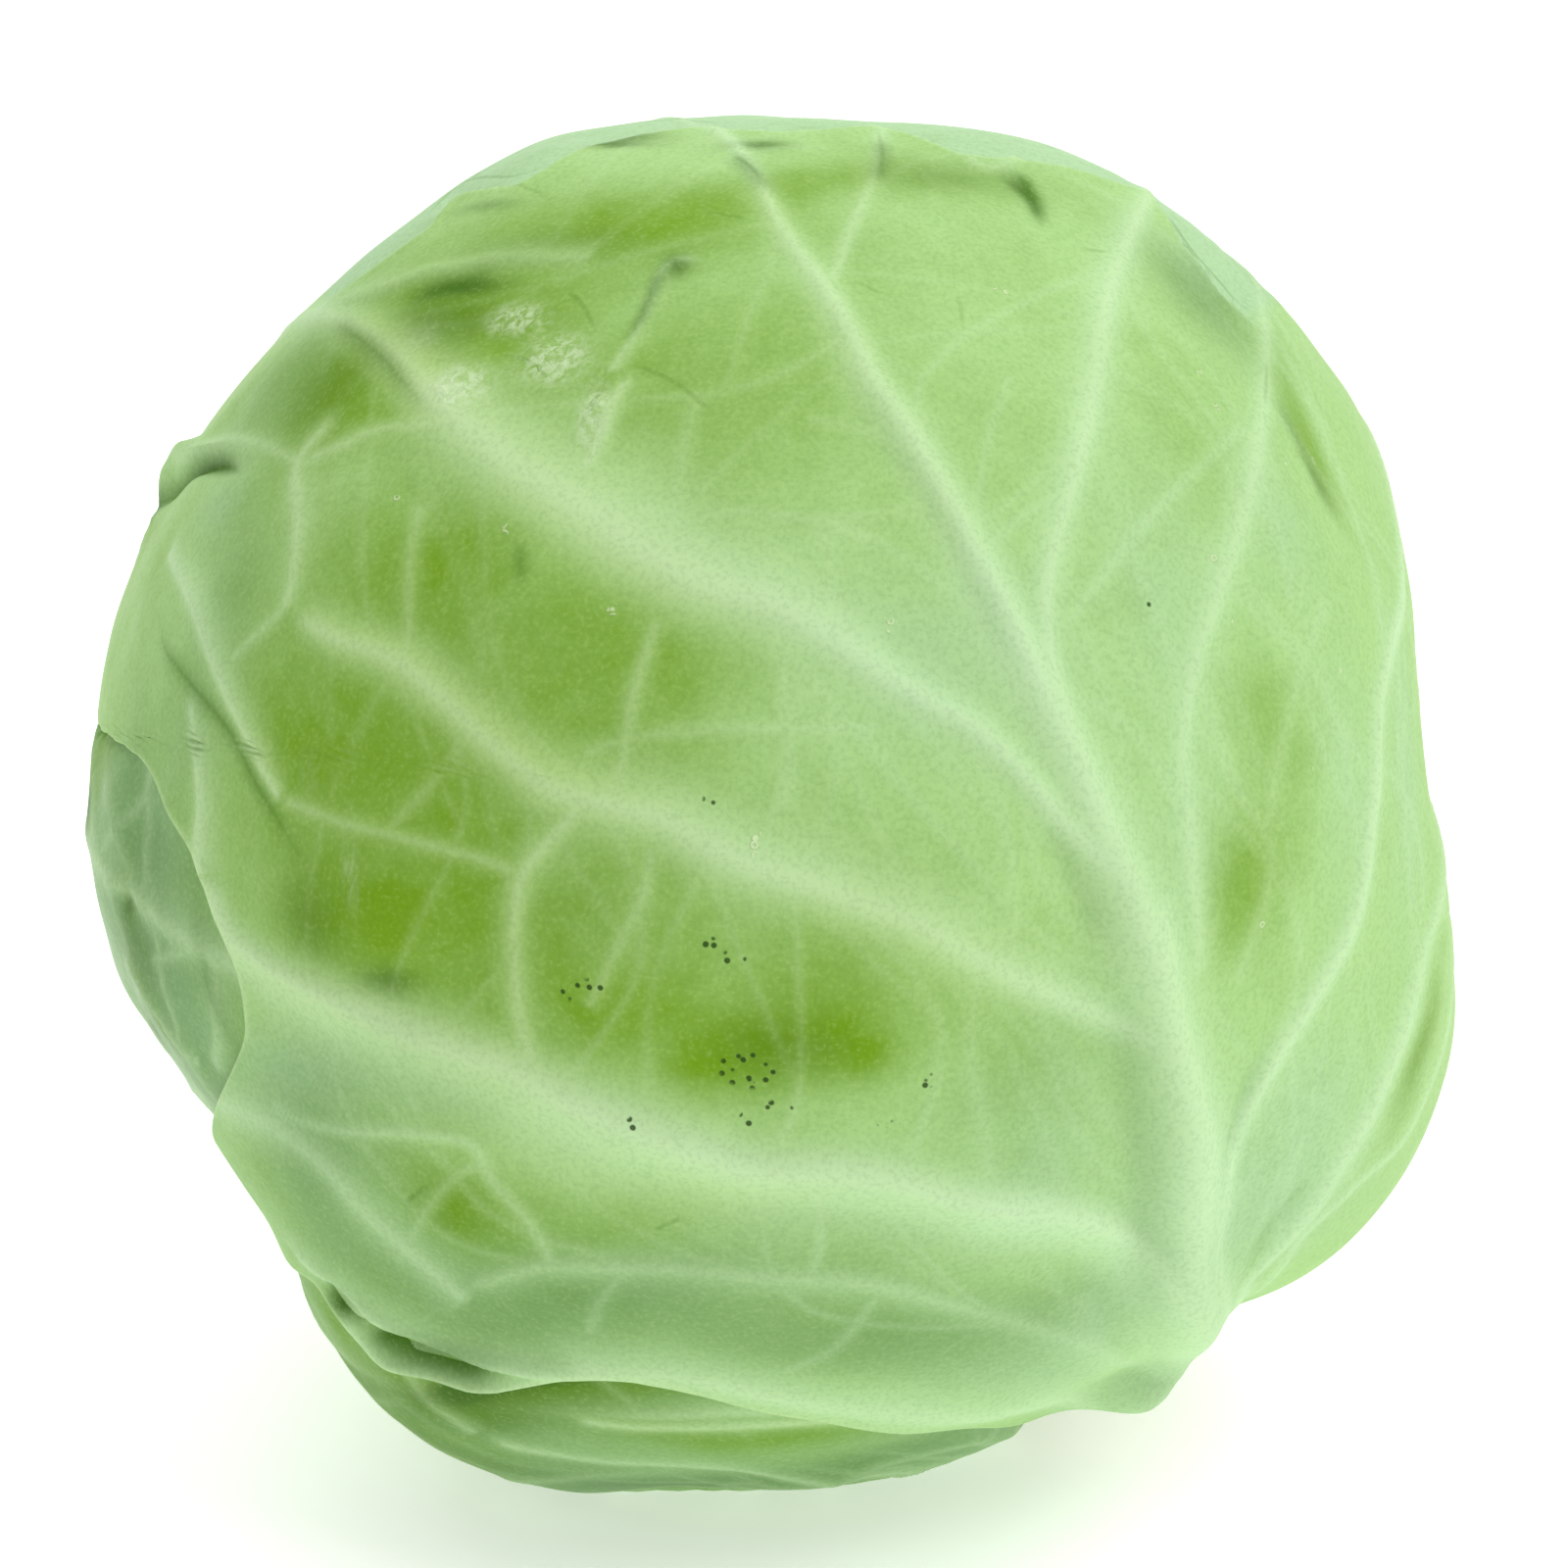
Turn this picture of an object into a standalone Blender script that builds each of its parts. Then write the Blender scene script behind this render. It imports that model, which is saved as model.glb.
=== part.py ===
"""A head of green cabbage as it rests on a table, built leaf by leaf.

Six wrapper leaves lie over each other on a dense heart of packed inner leaves, and all of them
grow from one stalk, whose core runs up inside the heart. Every surface is a distance from the
head's centre, so a leaf's layer, its ribs and its lifted edge are lengths added along that ray.

Units are metres, +Z is up and -Y is the side the front leaf faces. The origin is the middle of
the small flat spot that the head rests on.
"""

import math
from dataclasses import dataclass

import bmesh
import bpy
import numpy as np
from mathutils import Vector

MM = 0.001

# The head as a whole
HEAD_RADIUS = 90 * MM
FRONT_RAISED = 20.0  # degrees that the front leaf faces above the horizon
SPOT_PRESSED = 2.2 * MM  # how far the lowest leaf is flattened where the head rests
# Broad swellings and hollows: angle round the front view, angle from its middle, height, width
LUMPS = (
    (-27, 88, 7.0 * MM, 16),
    (-117, 85, 6.5 * MM, 13),
    (-148, 88, -6.5 * MM, 10),
    (-168, 88, 2.0 * MM, 12),
    (58, 88, 4.5 * MM, 15),
    (3, 88, -8.0 * MM, 10),
    (133, 88, -1.0 * MM, 12),
    (-53, 88, -5.0 * MM, 10),
)

# The stalk points down and to the right, and a little away from the front
STALK_ROLL = 32.4
STALK_TURNED_BACK = 9.8
STALK_CUT_AT = 84 * MM  # from the head's centre to the cut face
STALK_RADIUS = 13.5 * MM
CORE_LENGTH = 72 * MM
STALK_CLEARANCE = 0.5 * MM
STALK_SIDES = 28

# Leaves
BLADE_THICKNESS = 0.8 * MM
LAYER_GAP = 1.5 * MM
HEART_GAP = 0.8 * MM
LAYER = BLADE_THICKNESS + LAYER_GAP
COVER_HOLD = 8 * MM  # a leaf stays pressed down this far outside the edge that covers it
COVER_FALL = 42 * MM  # and then rises to the head's own surface over this length
RELIEF_FALL = 10 * MM  # its ribs come out over this shorter length
MIDRIB_STATIONS = (0.0, 0.15, 0.5, 1.0)  # shares of the way from the leaf's base to its tip
MIDRIB_HEIGHT = (3.5 * MM, 5.5 * MM, 3.2 * MM, 1.0 * MM)
MIDRIB_HALF_WIDTH = (8.5 * MM, 6.8 * MM, 4.0 * MM, 2.0 * MM)
VEIN_HEIGHT = 3.0 * MM
VEIN_FOOT = 0.14  # half a vein's width, as a share of the way to the next one
PILLOW = 0.4 * MM  # how far the blade swells between two veins

# Mesh: columns run from the left edge over the midrib to the right edge
ROW_SPACING = 13  # degrees of arc
COLUMN_SPACING = 14.5
RIB_COLUMNS = (-1.0, -0.55, 0.0, 0.55, 1.0)
HEART_SEGMENTS = 36
HEART_RINGS = 20

# The heart shows the edges of its own inner leaves: azimuth round the stalk and step
HEART_LEAVES = (40, 165, 280)
HEART_STEP = 1.6 * MM

LEAF_GREEN = (0.45, 0.63, 0.28, 1)
UNDER_LEAF_GREEN = (0.50, 0.66, 0.40, 1)
HEART_GREEN = (0.68, 0.77, 0.44, 1)
STALK_CREAM = (0.80, 0.82, 0.62, 1)


# Directions

def front_axes():
    """The front view's own axes: to the right, up the view, and out towards the viewer."""
    raised = math.radians(FRONT_RAISED)
    right = np.array((1.0, 0.0, 0.0))
    up = np.array((0.0, math.sin(raised), math.cos(raised)))
    return right, up, np.cross(right, up)


RIGHT, UP, OUT = front_axes()


def stalk_axes():
    """The stalk's direction, and two directions across it: to the front and up to the right."""
    roll = math.radians(STALK_ROLL)
    back = math.radians(STALK_TURNED_BACK)
    in_view = math.sin(roll) * RIGHT - math.cos(roll) * UP
    stalk = math.cos(back) * in_view - math.sin(back) * OUT
    across = math.cos(roll) * RIGHT + math.sin(roll) * UP
    front = math.sin(back) * in_view + math.cos(back) * OUT
    return stalk, front, across


STALK, STALK_FRONT, STALK_ACROSS = stalk_axes()


def chart_to_direction(axes, chart):
    """Points of a leaf's chart, in degrees of arc from its middle, as unit directions."""
    right, up, out = axes
    flat = np.radians(chart)
    arc = np.linalg.norm(flat, axis=-1, keepdims=True)
    side = flat / np.maximum(arc, 1e-9)
    return np.cos(arc) * out + np.sin(arc) * (side[..., :1] * right + side[..., 1:] * up)


def direction_to_polar(axes, directions):
    """The angle round a leaf's chart and the angle from its middle, both in degrees."""
    right, up, out = axes
    arc = np.degrees(np.arccos(np.clip(directions @ out, -1, 1)))
    return np.degrees(np.arctan2(directions @ up, directions @ right)), arc


def polar(angle, arc):
    angle = np.radians(angle)
    return np.stack((arc * np.cos(angle), arc * np.sin(angle)), axis=-1)


# The head's own surface

def head_radius(directions):
    """Distance from the head's centre to its outer surface, without ribs and leaf edges."""
    radius = np.full(directions.shape[:-1], HEAD_RADIUS)
    for angle, arc, height, width in LUMPS:
        middle = chart_to_direction((RIGHT, UP, OUT), polar(angle, arc))
        off = np.degrees(np.arccos(np.clip(directions @ middle, -1, 1)))
        radius = radius + height * np.exp(-0.5 * (off / width) ** 2)
    return radius


CENTRE_HEIGHT = float(head_radius(np.array((0.0, 0.0, -1.0)))) - SPOT_PRESSED
CENTRE = np.array((0.0, 0.0, CENTRE_HEIGHT))


def place(directions, radius, over_table):
    """Points at that radius, but no lower than this height over the table."""
    down = np.maximum(-directions[..., 2], 1e-6)
    radius = np.minimum(radius, (CENTRE_HEIGHT - over_table) / down)
    return CENTRE + radius[..., None] * directions


def smooth_step(x):
    x = np.clip(x, 0, 1)
    return x * x * (3 - 2 * x)


# Leaves

@dataclass
class Leaf:
    """One leaf, laid out on a chart in degrees of arc from its middle.

    outline: (angle round the chart, reach) pairs. midrib: four Bezier points from base to tip.
    left, right: rows from base to tip, each (start on the midrib, angle of its end on the outline,
    vein strength, first Bezier handle, second handle). A row of strength 0 has no vein.
    """

    name: str
    axes: tuple
    outline: tuple
    midrib: tuple
    left: tuple
    right: tuple
    edge_lift: float
    waves: int
    material: str


def reach(leaf, angle):
    """The leaf's edge at that angle round its chart, with the outline's corners rounded off."""
    angles, reaches = np.array(leaf.outline).T
    order = np.argsort(angles % 360)
    total = 0
    for offset, weight in ((-4, 1), (-2, 2), (0, 3), (2, 2), (4, 1)):
        turned = np.asarray(angle) + offset
        total = total + weight / 9 * np.interp(turned, (angles % 360)[order], reaches[order], period=360)
    return total


def bezier(points, along):
    u = np.asarray(along)[..., None]
    p = points
    return (1 - u) ** 3 * p[0] + 3 * u * (1 - u) ** 2 * p[1] + 3 * u**2 * (1 - u) * p[2] + u**3 * p[3]


def midrib_point(leaf, along):
    """A point on the midrib and the unit tangent there, on the chart."""
    p = np.array(leaf.midrib, float)
    u = np.asarray(along)[..., None]
    slope = (1 - u) ** 2 * (p[1] - p[0]) + 2 * u * (1 - u) * (p[2] - p[1]) + u**2 * (p[3] - p[2])
    return bezier(p, along), slope / np.linalg.norm(slope, axis=-1, keepdims=True)


def along_midrib(values, along):
    return np.interp(along, MIDRIB_STATIONS, values)


def row_values(leaf, side, rows):
    """Start, end angle, strength and the two handles of a side's rows, between them too."""
    table = np.array([np.hstack(row) for row in (leaf.left if side < 0 else leaf.right)], float)
    index = np.arange(len(table))
    return np.stack([np.interp(rows, index, column) for column in table.T])


def midrib_foot(leaf, side, along):
    """Where the blade starts, beside the midrib. A chart stretches what lies far from its middle."""
    point, tangent = midrib_point(leaf, along)
    arc = np.radians(np.linalg.norm(point, axis=-1))
    stretch = arc / np.maximum(np.sin(arc), 0.3)
    normal = np.stack((tangent[..., 1], -tangent[..., 0]), axis=-1)
    width = np.degrees(along_midrib(MIDRIB_HALF_WIDTH, along) / HEAD_RADIUS) * stretch
    return point + side * normal * width[..., None]


def blade_points(leaf, side, rows, out):
    """Chart points of one half of the blade: rows from base to tip, out from midrib to edge."""
    start, end_angle, _, first_x, first_y, second_x, second_y = row_values(leaf, side, rows)
    foot = midrib_foot(leaf, side, start)
    end = polar(end_angle, reach(leaf, end_angle))
    first = np.stack((first_x, first_y), axis=-1)
    second = np.stack((second_x, second_y), axis=-1)
    return bezier((foot, first, second, end), out)


def rib_points(leaf, rows, across):
    """Chart points on the midrib, across from its left foot at -1 to its right foot at 1."""
    left = midrib_foot(leaf, -1, row_values(leaf, -1, rows)[0])
    right = midrib_foot(leaf, 1, row_values(leaf, 1, rows)[0])
    share = (np.asarray(across)[..., None] + 1) / 2
    return left + share * (right - left)


def vein_relief(leaf, side, rows, out):
    """Height of the side veins and of the blade's swelling between them."""
    strength = row_values(leaf, side, np.round(rows))[2]
    off = np.abs(rows - np.round(rows))
    crest = strength * VEIN_HEIGHT * (1 - 0.7 * out) * np.clip(1 - off / VEIN_FOOT, 0, 1)
    swell = PILLOW * np.sin(math.pi * np.clip(out, 0, 1)) * smooth_step((off - VEIN_FOOT) / 0.3)
    return crest + swell


def rib_relief(leaf, rows, across):
    """Height of the midrib's rounded back, with the side veins running into it."""
    along = (row_values(leaf, -1, rows)[0] + row_values(leaf, 1, rows)[0]) / 2
    side = np.where(np.asarray(across) < 0, -1, 1)
    veins = np.where(side < 0, vein_relief(leaf, -1, rows, 0.0), vein_relief(leaf, 1, rows, 0.0))
    back = along_midrib(MIDRIB_HEIGHT, along) * (1 - np.asarray(across) ** 2)
    return np.maximum(back, veins)


def outside(leaf, directions):
    """How far these directions lie outside the leaf's edge, along the head's surface."""
    angle, arc = direction_to_polar(leaf.axes, directions)
    return np.radians(arc - reach(leaf, angle)) * HEAD_RADIUS


def cover(leaf, directions, fall=COVER_FALL):
    """1 where this leaf lies over what is beneath it, and 0 well outside its edge."""
    return 1 - smooth_step((outside(leaf, directions) - COVER_HOLD) / fall)


def stack_over(leaves, directions):
    """Depth under these leaves, how far a surface's ribs may rise, and its height over the table."""
    depth = np.zeros(directions.shape[:-1])
    bare = np.ones(directions.shape[:-1])
    over_table = np.zeros(directions.shape[:-1])
    for leaf in leaves:
        pressed = cover(leaf, directions, RELIEF_FALL)
        depth = depth + LAYER * cover(leaf, directions)
        bare = bare * (1 - pressed)
        over_table = over_table + LAYER * pressed
    return depth, bare, over_table


def edge_lift(leaf, directions, out):
    """How far the blade stands off near its edge, in waves."""
    angle, _ = direction_to_polar(leaf.axes, directions)
    wave = 0.55 + 0.45 * np.sin(np.radians(leaf.waves * angle))
    return leaf.edge_lift * wave * smooth_step((out - 0.55) / 0.45)


def rows_between(leaf, first, last):
    """Rows from one to the next, evenly spaced and close enough to follow the head's roundness."""
    apart = 0
    for side in (-1, 1):
        for out in (0.0, 0.5, 1.0):
            ends = blade_points(leaf, side, np.array((first, last)), np.full(2, out))
            apart = max(apart, np.linalg.norm(ends[1] - ends[0]))
    steps = max(1, math.ceil(apart / ROW_SPACING))
    return list(np.linspace(first, last, steps + 1)[1:])


def leaf_rows(leaf):
    """Every vein has a row on its crest and one at each foot."""
    last = len(leaf.left) - 1
    rows = [0.0]
    for k in range(1, last):
        rows += rows_between(leaf, rows[-1], k - VEIN_FOOT)
        rows += [k, k + VEIN_FOOT]
    return np.array(rows + rows_between(leaf, rows[-1], last))


def side_columns(leaf, side, rows):
    """Even steps from the midrib to the edge, by the side's longest row."""
    length = 0
    points = [blade_points(leaf, side, rows, np.full_like(rows, out)) for out in np.linspace(0, 1, 7)]
    for near, far in zip(points, points[1:]):
        length = length + np.linalg.norm(far - near, axis=-1)
    return np.linspace(0, 1, math.ceil(length.max() / COLUMN_SPACING) + 1)


def leaf_grid(leaf):
    """Directions, ribs' relief and share of the way to the edge, on the leaf's mesh columns."""
    rows = leaf_rows(leaf)
    charts, reliefs, outs = [], [], []
    for out in reversed(side_columns(leaf, -1, rows)):
        charts.append(blade_points(leaf, -1, rows, np.full_like(rows, out)))
        reliefs.append(vein_relief(leaf, -1, rows, out))
        outs.append(np.full_like(rows, out))
    for across in RIB_COLUMNS[1:-1]:
        charts.append(rib_points(leaf, rows, np.full_like(rows, across)))
        reliefs.append(rib_relief(leaf, rows, across))
        outs.append(np.zeros_like(rows))
    for out in side_columns(leaf, 1, rows):
        charts.append(blade_points(leaf, 1, rows, np.full_like(rows, out)))
        reliefs.append(vein_relief(leaf, 1, rows, out))
        outs.append(np.full_like(rows, out))
    directions = chart_to_direction(leaf.axes, np.stack(charts, axis=1))
    return directions, np.stack(reliefs, axis=1), np.stack(outs, axis=1)


def leaf_skins(leaf, outer_leaves):
    """The leaf's outer and inner faces, as grids of points."""
    directions, relief, out = leaf_grid(leaf)
    depth, bare, over_table = stack_over(outer_leaves, directions)
    surface = head_radius(directions) - depth
    lift = bare * edge_lift(leaf, directions, out)
    outer = place(directions, surface + lift + bare * relief, over_table)
    inner = place(directions, surface + lift - BLADE_THICKNESS, over_table + BLADE_THICKNESS)
    return outer, inner


def add_object(name, mesh, material, collection):
    obj = bpy.data.objects.new(name, mesh)
    collection.objects.link(obj)
    mesh.materials.append(material)
    mesh.shade_smooth()
    mesh.set_sharp_from_angle(angle=math.radians(50))
    return obj


def add_leaf(leaf, outer_leaves, material, collection):
    """A grid laid out as the outer face, and extruded into the inner one."""
    outer, inner = leaf_skins(leaf, outer_leaves)
    rows, columns = outer.shape[:2]
    bm = bmesh.new()
    bmesh.ops.create_grid(bm, x_segments=columns - 1, y_segments=rows - 1, size=0.5)
    outer_verts = list(bm.verts)
    cells = [
        (round((v.co.y + 0.5) * (rows - 1)), round((v.co.x + 0.5) * (columns - 1)))
        for v in outer_verts
    ]
    made = bmesh.ops.extrude_face_region(bm, geom=list(bm.faces), use_keep_orig=True)
    inner_verts = [g for g in made["geom"] if isinstance(g, bmesh.types.BMVert)]
    inner_cells = [
        (round((v.co.y + 0.5) * (rows - 1)), round((v.co.x + 0.5) * (columns - 1)))
        for v in inner_verts
    ]
    for vert, cell in zip(outer_verts, cells):
        vert.co = Vector(outer[cell])
    for vert, cell in zip(inner_verts, inner_cells):
        vert.co = Vector(inner[cell])
    bmesh.ops.recalc_face_normals(bm, faces=bm.faces)
    mesh = bpy.data.meshes.new(leaf.name)
    bm.to_mesh(mesh)
    bm.free()
    return add_object(leaf.name, mesh, material, collection)


# The front leaf is laid out on the front view itself

def front_leaf():
    return Leaf(
        name="leaf_front",
        axes=(RIGHT, UP, OUT),
        outline=(
            (-52, 96), (-58, 91), (-65, 87), (-69, 78), (-73, 72.5), (-83, 66), (-98, 60.5),
            (-108, 62.5), (-117, 68.5), (-128, 71), (-135, 75), (-142, 84), (-147, 80),
            (-154, 66), (-164, 57), (-173, 57.5), (-180, 62), (-184, 70), (-188, 84),
            (-195, 91), (-215, 94), (-236, 88), (-244, 79), (-251, 73), (-257, 80), (-263, 80),
            (-269, 72.5), (-278, 82), (-288, 74), (-293, 84), (-301, 92), (-315, 98), (-340, 101),
            (-10, 100), (-35, 98),
        ),
        midrib=((48, -77), (42, -30), (16, 22), (-6, 76)),
        left=(
            (0.0, -64.5, 0, (39, -78), (38, -78)),
            (0.04, -83, 0.3, (32, -65), (20, -62)),
            (0.07, -108, 0.3, (26, -52), (0, -50)),
            (0.10, -135, 0.5, (20, -42), (-16, -36)),
            (0.13, -148, 0.4, (16, -37), (-34, -33)),
            (0.15, -162, 0.0, (14, -33.5), (-34, -28)),
            (0.17, -204, 1.0, (12, -30), (-48, -30)),
            (0.36, -213, 0.8, (20, -12), (-26, -2)),
            (0.44, -227, 0.9, (20, 6), (-14, 20)),
            (0.72, -250, 0.4, (4, 40), (-10, 54)),
            (1.0, -262, 0, (-9, 77), (-10, 78)),
        ),
        right=(
            (0.0, -53, 0, (57, -76), (58, -76)),
            (0.06, -36, 0.3, (60, -67), (70, -63)),
            (0.11, -22, 0.4, (58, -56), (74, -48)),
            (0.15, 0, 0.5, (54, -44), (72, -28)),
            (0.20, 13, 0.0, (47, -28), (66, -15)),
            (0.24, 24, 0.8, (42, -16), (62, -4)),
            (0.42, 45, 0.7, (36, 8), (44, 34)),
            (0.53, 58, 0.8, (20, 24), (36, 58)),
            (0.70, 71, 0.3, (14, 42), (20, 58)),
            (0.85, 83, 0.3, (6, 62), (8, 70)),
            (1.0, 93, 0, (-4, 75), (-4, 74)),
        ),
        edge_lift=1.2 * MM,
        waves=7,
        material="leaf",
    )


# The other leaves share one plan, turned round the stalk

def plain_side(mirror, width, tall, offset):
    """Rows of one half of a leaf whose midrib stands straight up its chart."""
    rows = [(0.0, -90 + mirror * 10, 0, (mirror * 8.5, -67), (mirror * 10, -67))]
    for start, angle, strength, first, second in (
        (0.06, 17, 0.2, (9.5, -57), (12.5, -54.5)),
        (0.10, 34, 0.4, (12, -48), (19, -43)),
        (0.15, 56, 0.6, (15, -36), (32, -27)),
        (0.23, 79, 0.8, (20, -20), (48, -5)),
        (0.34, 102, 0.9, (22, -2), (48, 18)),
        (0.50, 124, 0.8, (18, 18), (38, 42)),
        (0.70, 146, 0.6, (12, 42), (26, 60)),
    ):
        handles = [(mirror * x * width, y * tall if y > 0 else y) for x, y in (first, second)]
        rows.append((start + offset, -90 + mirror * angle, strength, *handles))
    rows.append((1.0, -90 + mirror * 174, 0, (mirror * 4, 75 * tall), (mirror * 6, 75 * tall)))
    return tuple(rows)


def turned_leaf(name, azimuth, width=1.0, tall=1.0, lean=0.0, lift=1.6 * MM, waves=8):
    """A leaf whose midrib stands at this azimuth round the stalk, from the front."""
    middle_from_stalk = 78
    turn = math.radians(azimuth)
    from_stalk = math.radians(middle_from_stalk)
    outward = math.cos(turn) * STALK_FRONT + math.sin(turn) * STALK_ACROSS
    out = math.cos(from_stalk) * STALK + math.sin(from_stalk) * outward
    up = -math.sin(from_stalk) * STALK + math.cos(from_stalk) * outward
    outline = []
    for angle, arc in (
        (0, 67), (10, 67), (14, 58), (20, 51), (30, 47.5), (45, 52), (60, 61), (75, 71), (90, 79),
        (105, 84), (122, 86), (140, 83), (160, 77), (180, 75),
    ):
        round_base = math.radians(angle)
        arc = arc * (1 + (width - 1) * math.sin(round_base))
        arc = arc * (1 + (tall - 1) * max(0, -math.cos(round_base)))
        outline += [(-90 - angle, arc), (-90 + angle, arc)]
    return Leaf(
        name=name,
        axes=(np.cross(up, out), up, out),
        outline=tuple(outline),
        midrib=((0, -67), (5 * lean, -25), (-6 * lean, 25 * tall), (0, 75 * tall)),
        left=plain_side(-1, width, tall, 0.0),
        right=plain_side(1, width, tall, 0.02),
        edge_lift=lift,
        waves=waves,
        material="leaf_under",
    )


def wrapper_leaves():
    """From the outermost inwards."""
    return [
        front_leaf(),
        turned_leaf("leaf_front_under", -22, width=1.04, lean=0.6, waves=9),
        turned_leaf("leaf_bottom", -86, width=1.04, lean=1.0, waves=7),
        turned_leaf("leaf_right", 100, width=1.02, lean=-1.0, waves=8),
        turned_leaf("leaf_back_left", -150, width=1.0, lean=-0.6, waves=9),
        turned_leaf("leaf_back", 160, width=1.04, tall=1.2, lean=0.8, waves=7),
    ]


# The heart and the stalk

def stalk_profile(grown):
    """Radius and distance from the head's centre, from the cut face to the core's tip."""
    cut = STALK_CUT_AT + grown
    tip = STALK_CUT_AT - CORE_LENGTH - grown
    return (
        (0.0, cut),
        (STALK_RADIUS - 1.2 * MM + grown, cut),
        (STALK_RADIUS + grown, cut - 1.2 * MM),
        (STALK_RADIUS - 0.8 * MM + grown, STALK_CUT_AT - 0.22 * CORE_LENGTH),
        (0.8 * STALK_RADIUS + grown, STALK_CUT_AT - 0.5 * CORE_LENGTH),
        (0.5 * STALK_RADIUS + grown, STALK_CUT_AT - 0.8 * CORE_LENGTH),
        (0.2 * STALK_RADIUS + grown, tip + 3 * MM),
        (0.0, tip),
    )


def turned_body(name, grown, material, collection):
    """The stalk's profile turned about its axis. Its local Z is the stalk's direction."""
    mesh = bpy.data.meshes.new(name)
    profile = [(radius, 0.0, height) for radius, height in stalk_profile(grown)]
    edges = [(i, i + 1) for i in range(len(profile) - 1)]
    mesh.from_pydata(profile, edges, [])
    obj = add_object(name, mesh, material, collection)
    screw = obj.modifiers.new("Turned", "SCREW")
    screw.steps = screw.render_steps = STALK_SIDES
    screw.use_merge_vertices = True
    screw.merge_threshold = 0.00005
    obj.location = Vector(CENTRE)
    obj.rotation_mode = "QUATERNION"
    obj.rotation_quaternion = Vector(STALK).to_track_quat("Z", "Y")
    return obj


def add_heart(leaves, material, collection):
    """A ball under all the wrapper leaves, stepped down where its own inner leaves end."""
    bm = bmesh.new()
    bmesh.ops.create_uvsphere(bm, u_segments=HEART_SEGMENTS, v_segments=HEART_RINGS, radius=1)
    turn = Vector(STALK).to_track_quat("Z", "Y")
    directions = np.array([tuple(turn @ v.co.normalized()) for v in bm.verts])
    depth, _, over_table = stack_over(leaves, directions)
    steps = sum(
        HEART_STEP * (1 - cover(turned_leaf("inner", azimuth), directions)) for azimuth in HEART_LEAVES
    )
    surface = head_radius(directions) - depth - HEART_GAP
    points = place(directions, surface - steps, over_table + HEART_GAP)
    for vert, point in zip(bm.verts, points):
        vert.co = Vector(point)
    bmesh.ops.recalc_face_normals(bm, faces=bm.faces)
    mesh = bpy.data.meshes.new("heart")
    bm.to_mesh(mesh)
    bm.free()
    return add_object("heart", mesh, material, collection)


def cut_socket(heart, cutter):
    """The hollow in the heart that the core fills."""
    cutter.hide_render = True
    cutter.display_type = "WIRE"
    cut = heart.modifiers.new("Core socket", "BOOLEAN")
    cut.operation = "DIFFERENCE"
    cut.object = cutter


# The scene

def make_material(name, colour, roughness):
    material = bpy.data.materials.new(name)
    material.use_nodes = True
    surface = material.node_tree.nodes["Principled BSDF"]
    surface.inputs["Base Color"].default_value = colour
    surface.inputs["Roughness"].default_value = roughness
    surface.inputs["Metallic"].default_value = 0.0
    return material


def new_collection(name):
    collection = bpy.data.collections.new(name)
    bpy.context.scene.collection.children.link(collection)
    return collection


def main():
    for obj in list(bpy.data.objects):
        bpy.data.objects.remove(obj)
    cabbage = new_collection("green_cabbage")
    cutters = new_collection("cutters")
    materials = {
        "leaf": make_material("leaf", LEAF_GREEN, 0.42),
        "leaf_under": make_material("leaf_under", UNDER_LEAF_GREEN, 0.45),
        "heart": make_material("heart", HEART_GREEN, 0.45),
        "stalk": make_material("stalk", STALK_CREAM, 0.6),
    }
    leaves = wrapper_leaves()
    for index, leaf in enumerate(leaves):
        add_leaf(leaf, leaves[:index], materials[leaf.material], cabbage)
    heart = add_heart(leaves, materials["heart"], cabbage)
    turned_body("stalk", 0.0, materials["stalk"], cabbage)
    cut_socket(heart, turned_body("socket_cutter", STALK_CLEARANCE, materials["stalk"], cutters))


main()
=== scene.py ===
"""The looks of a head of green cabbage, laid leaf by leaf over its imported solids.

As in the solids, every surface is a distance from the head's centre. The front leaf's ribs, folds
and spots follow lines in the front view's frame, which are cast onto the head from the view's eye.
The other leaves' ribs follow their own plan, turned round the stalk.

Units are metres, +Z is up and -Y is the side the front leaf faces.
"""

import math
from dataclasses import dataclass, replace

import bpy
import numpy as np
from mathutils import Matrix, Vector


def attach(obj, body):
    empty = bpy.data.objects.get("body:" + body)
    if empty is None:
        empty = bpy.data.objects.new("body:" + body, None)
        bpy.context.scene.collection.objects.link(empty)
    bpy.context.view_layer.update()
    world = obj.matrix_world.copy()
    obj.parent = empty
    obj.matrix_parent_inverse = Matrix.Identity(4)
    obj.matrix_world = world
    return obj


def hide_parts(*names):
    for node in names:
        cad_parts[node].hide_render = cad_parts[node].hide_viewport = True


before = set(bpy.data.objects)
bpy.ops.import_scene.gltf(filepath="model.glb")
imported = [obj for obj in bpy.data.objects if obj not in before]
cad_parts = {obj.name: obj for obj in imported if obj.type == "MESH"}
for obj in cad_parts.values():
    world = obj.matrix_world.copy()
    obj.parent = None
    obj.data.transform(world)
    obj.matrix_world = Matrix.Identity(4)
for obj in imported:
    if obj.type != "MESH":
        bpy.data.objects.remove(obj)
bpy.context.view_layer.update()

MM = 0.001

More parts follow.
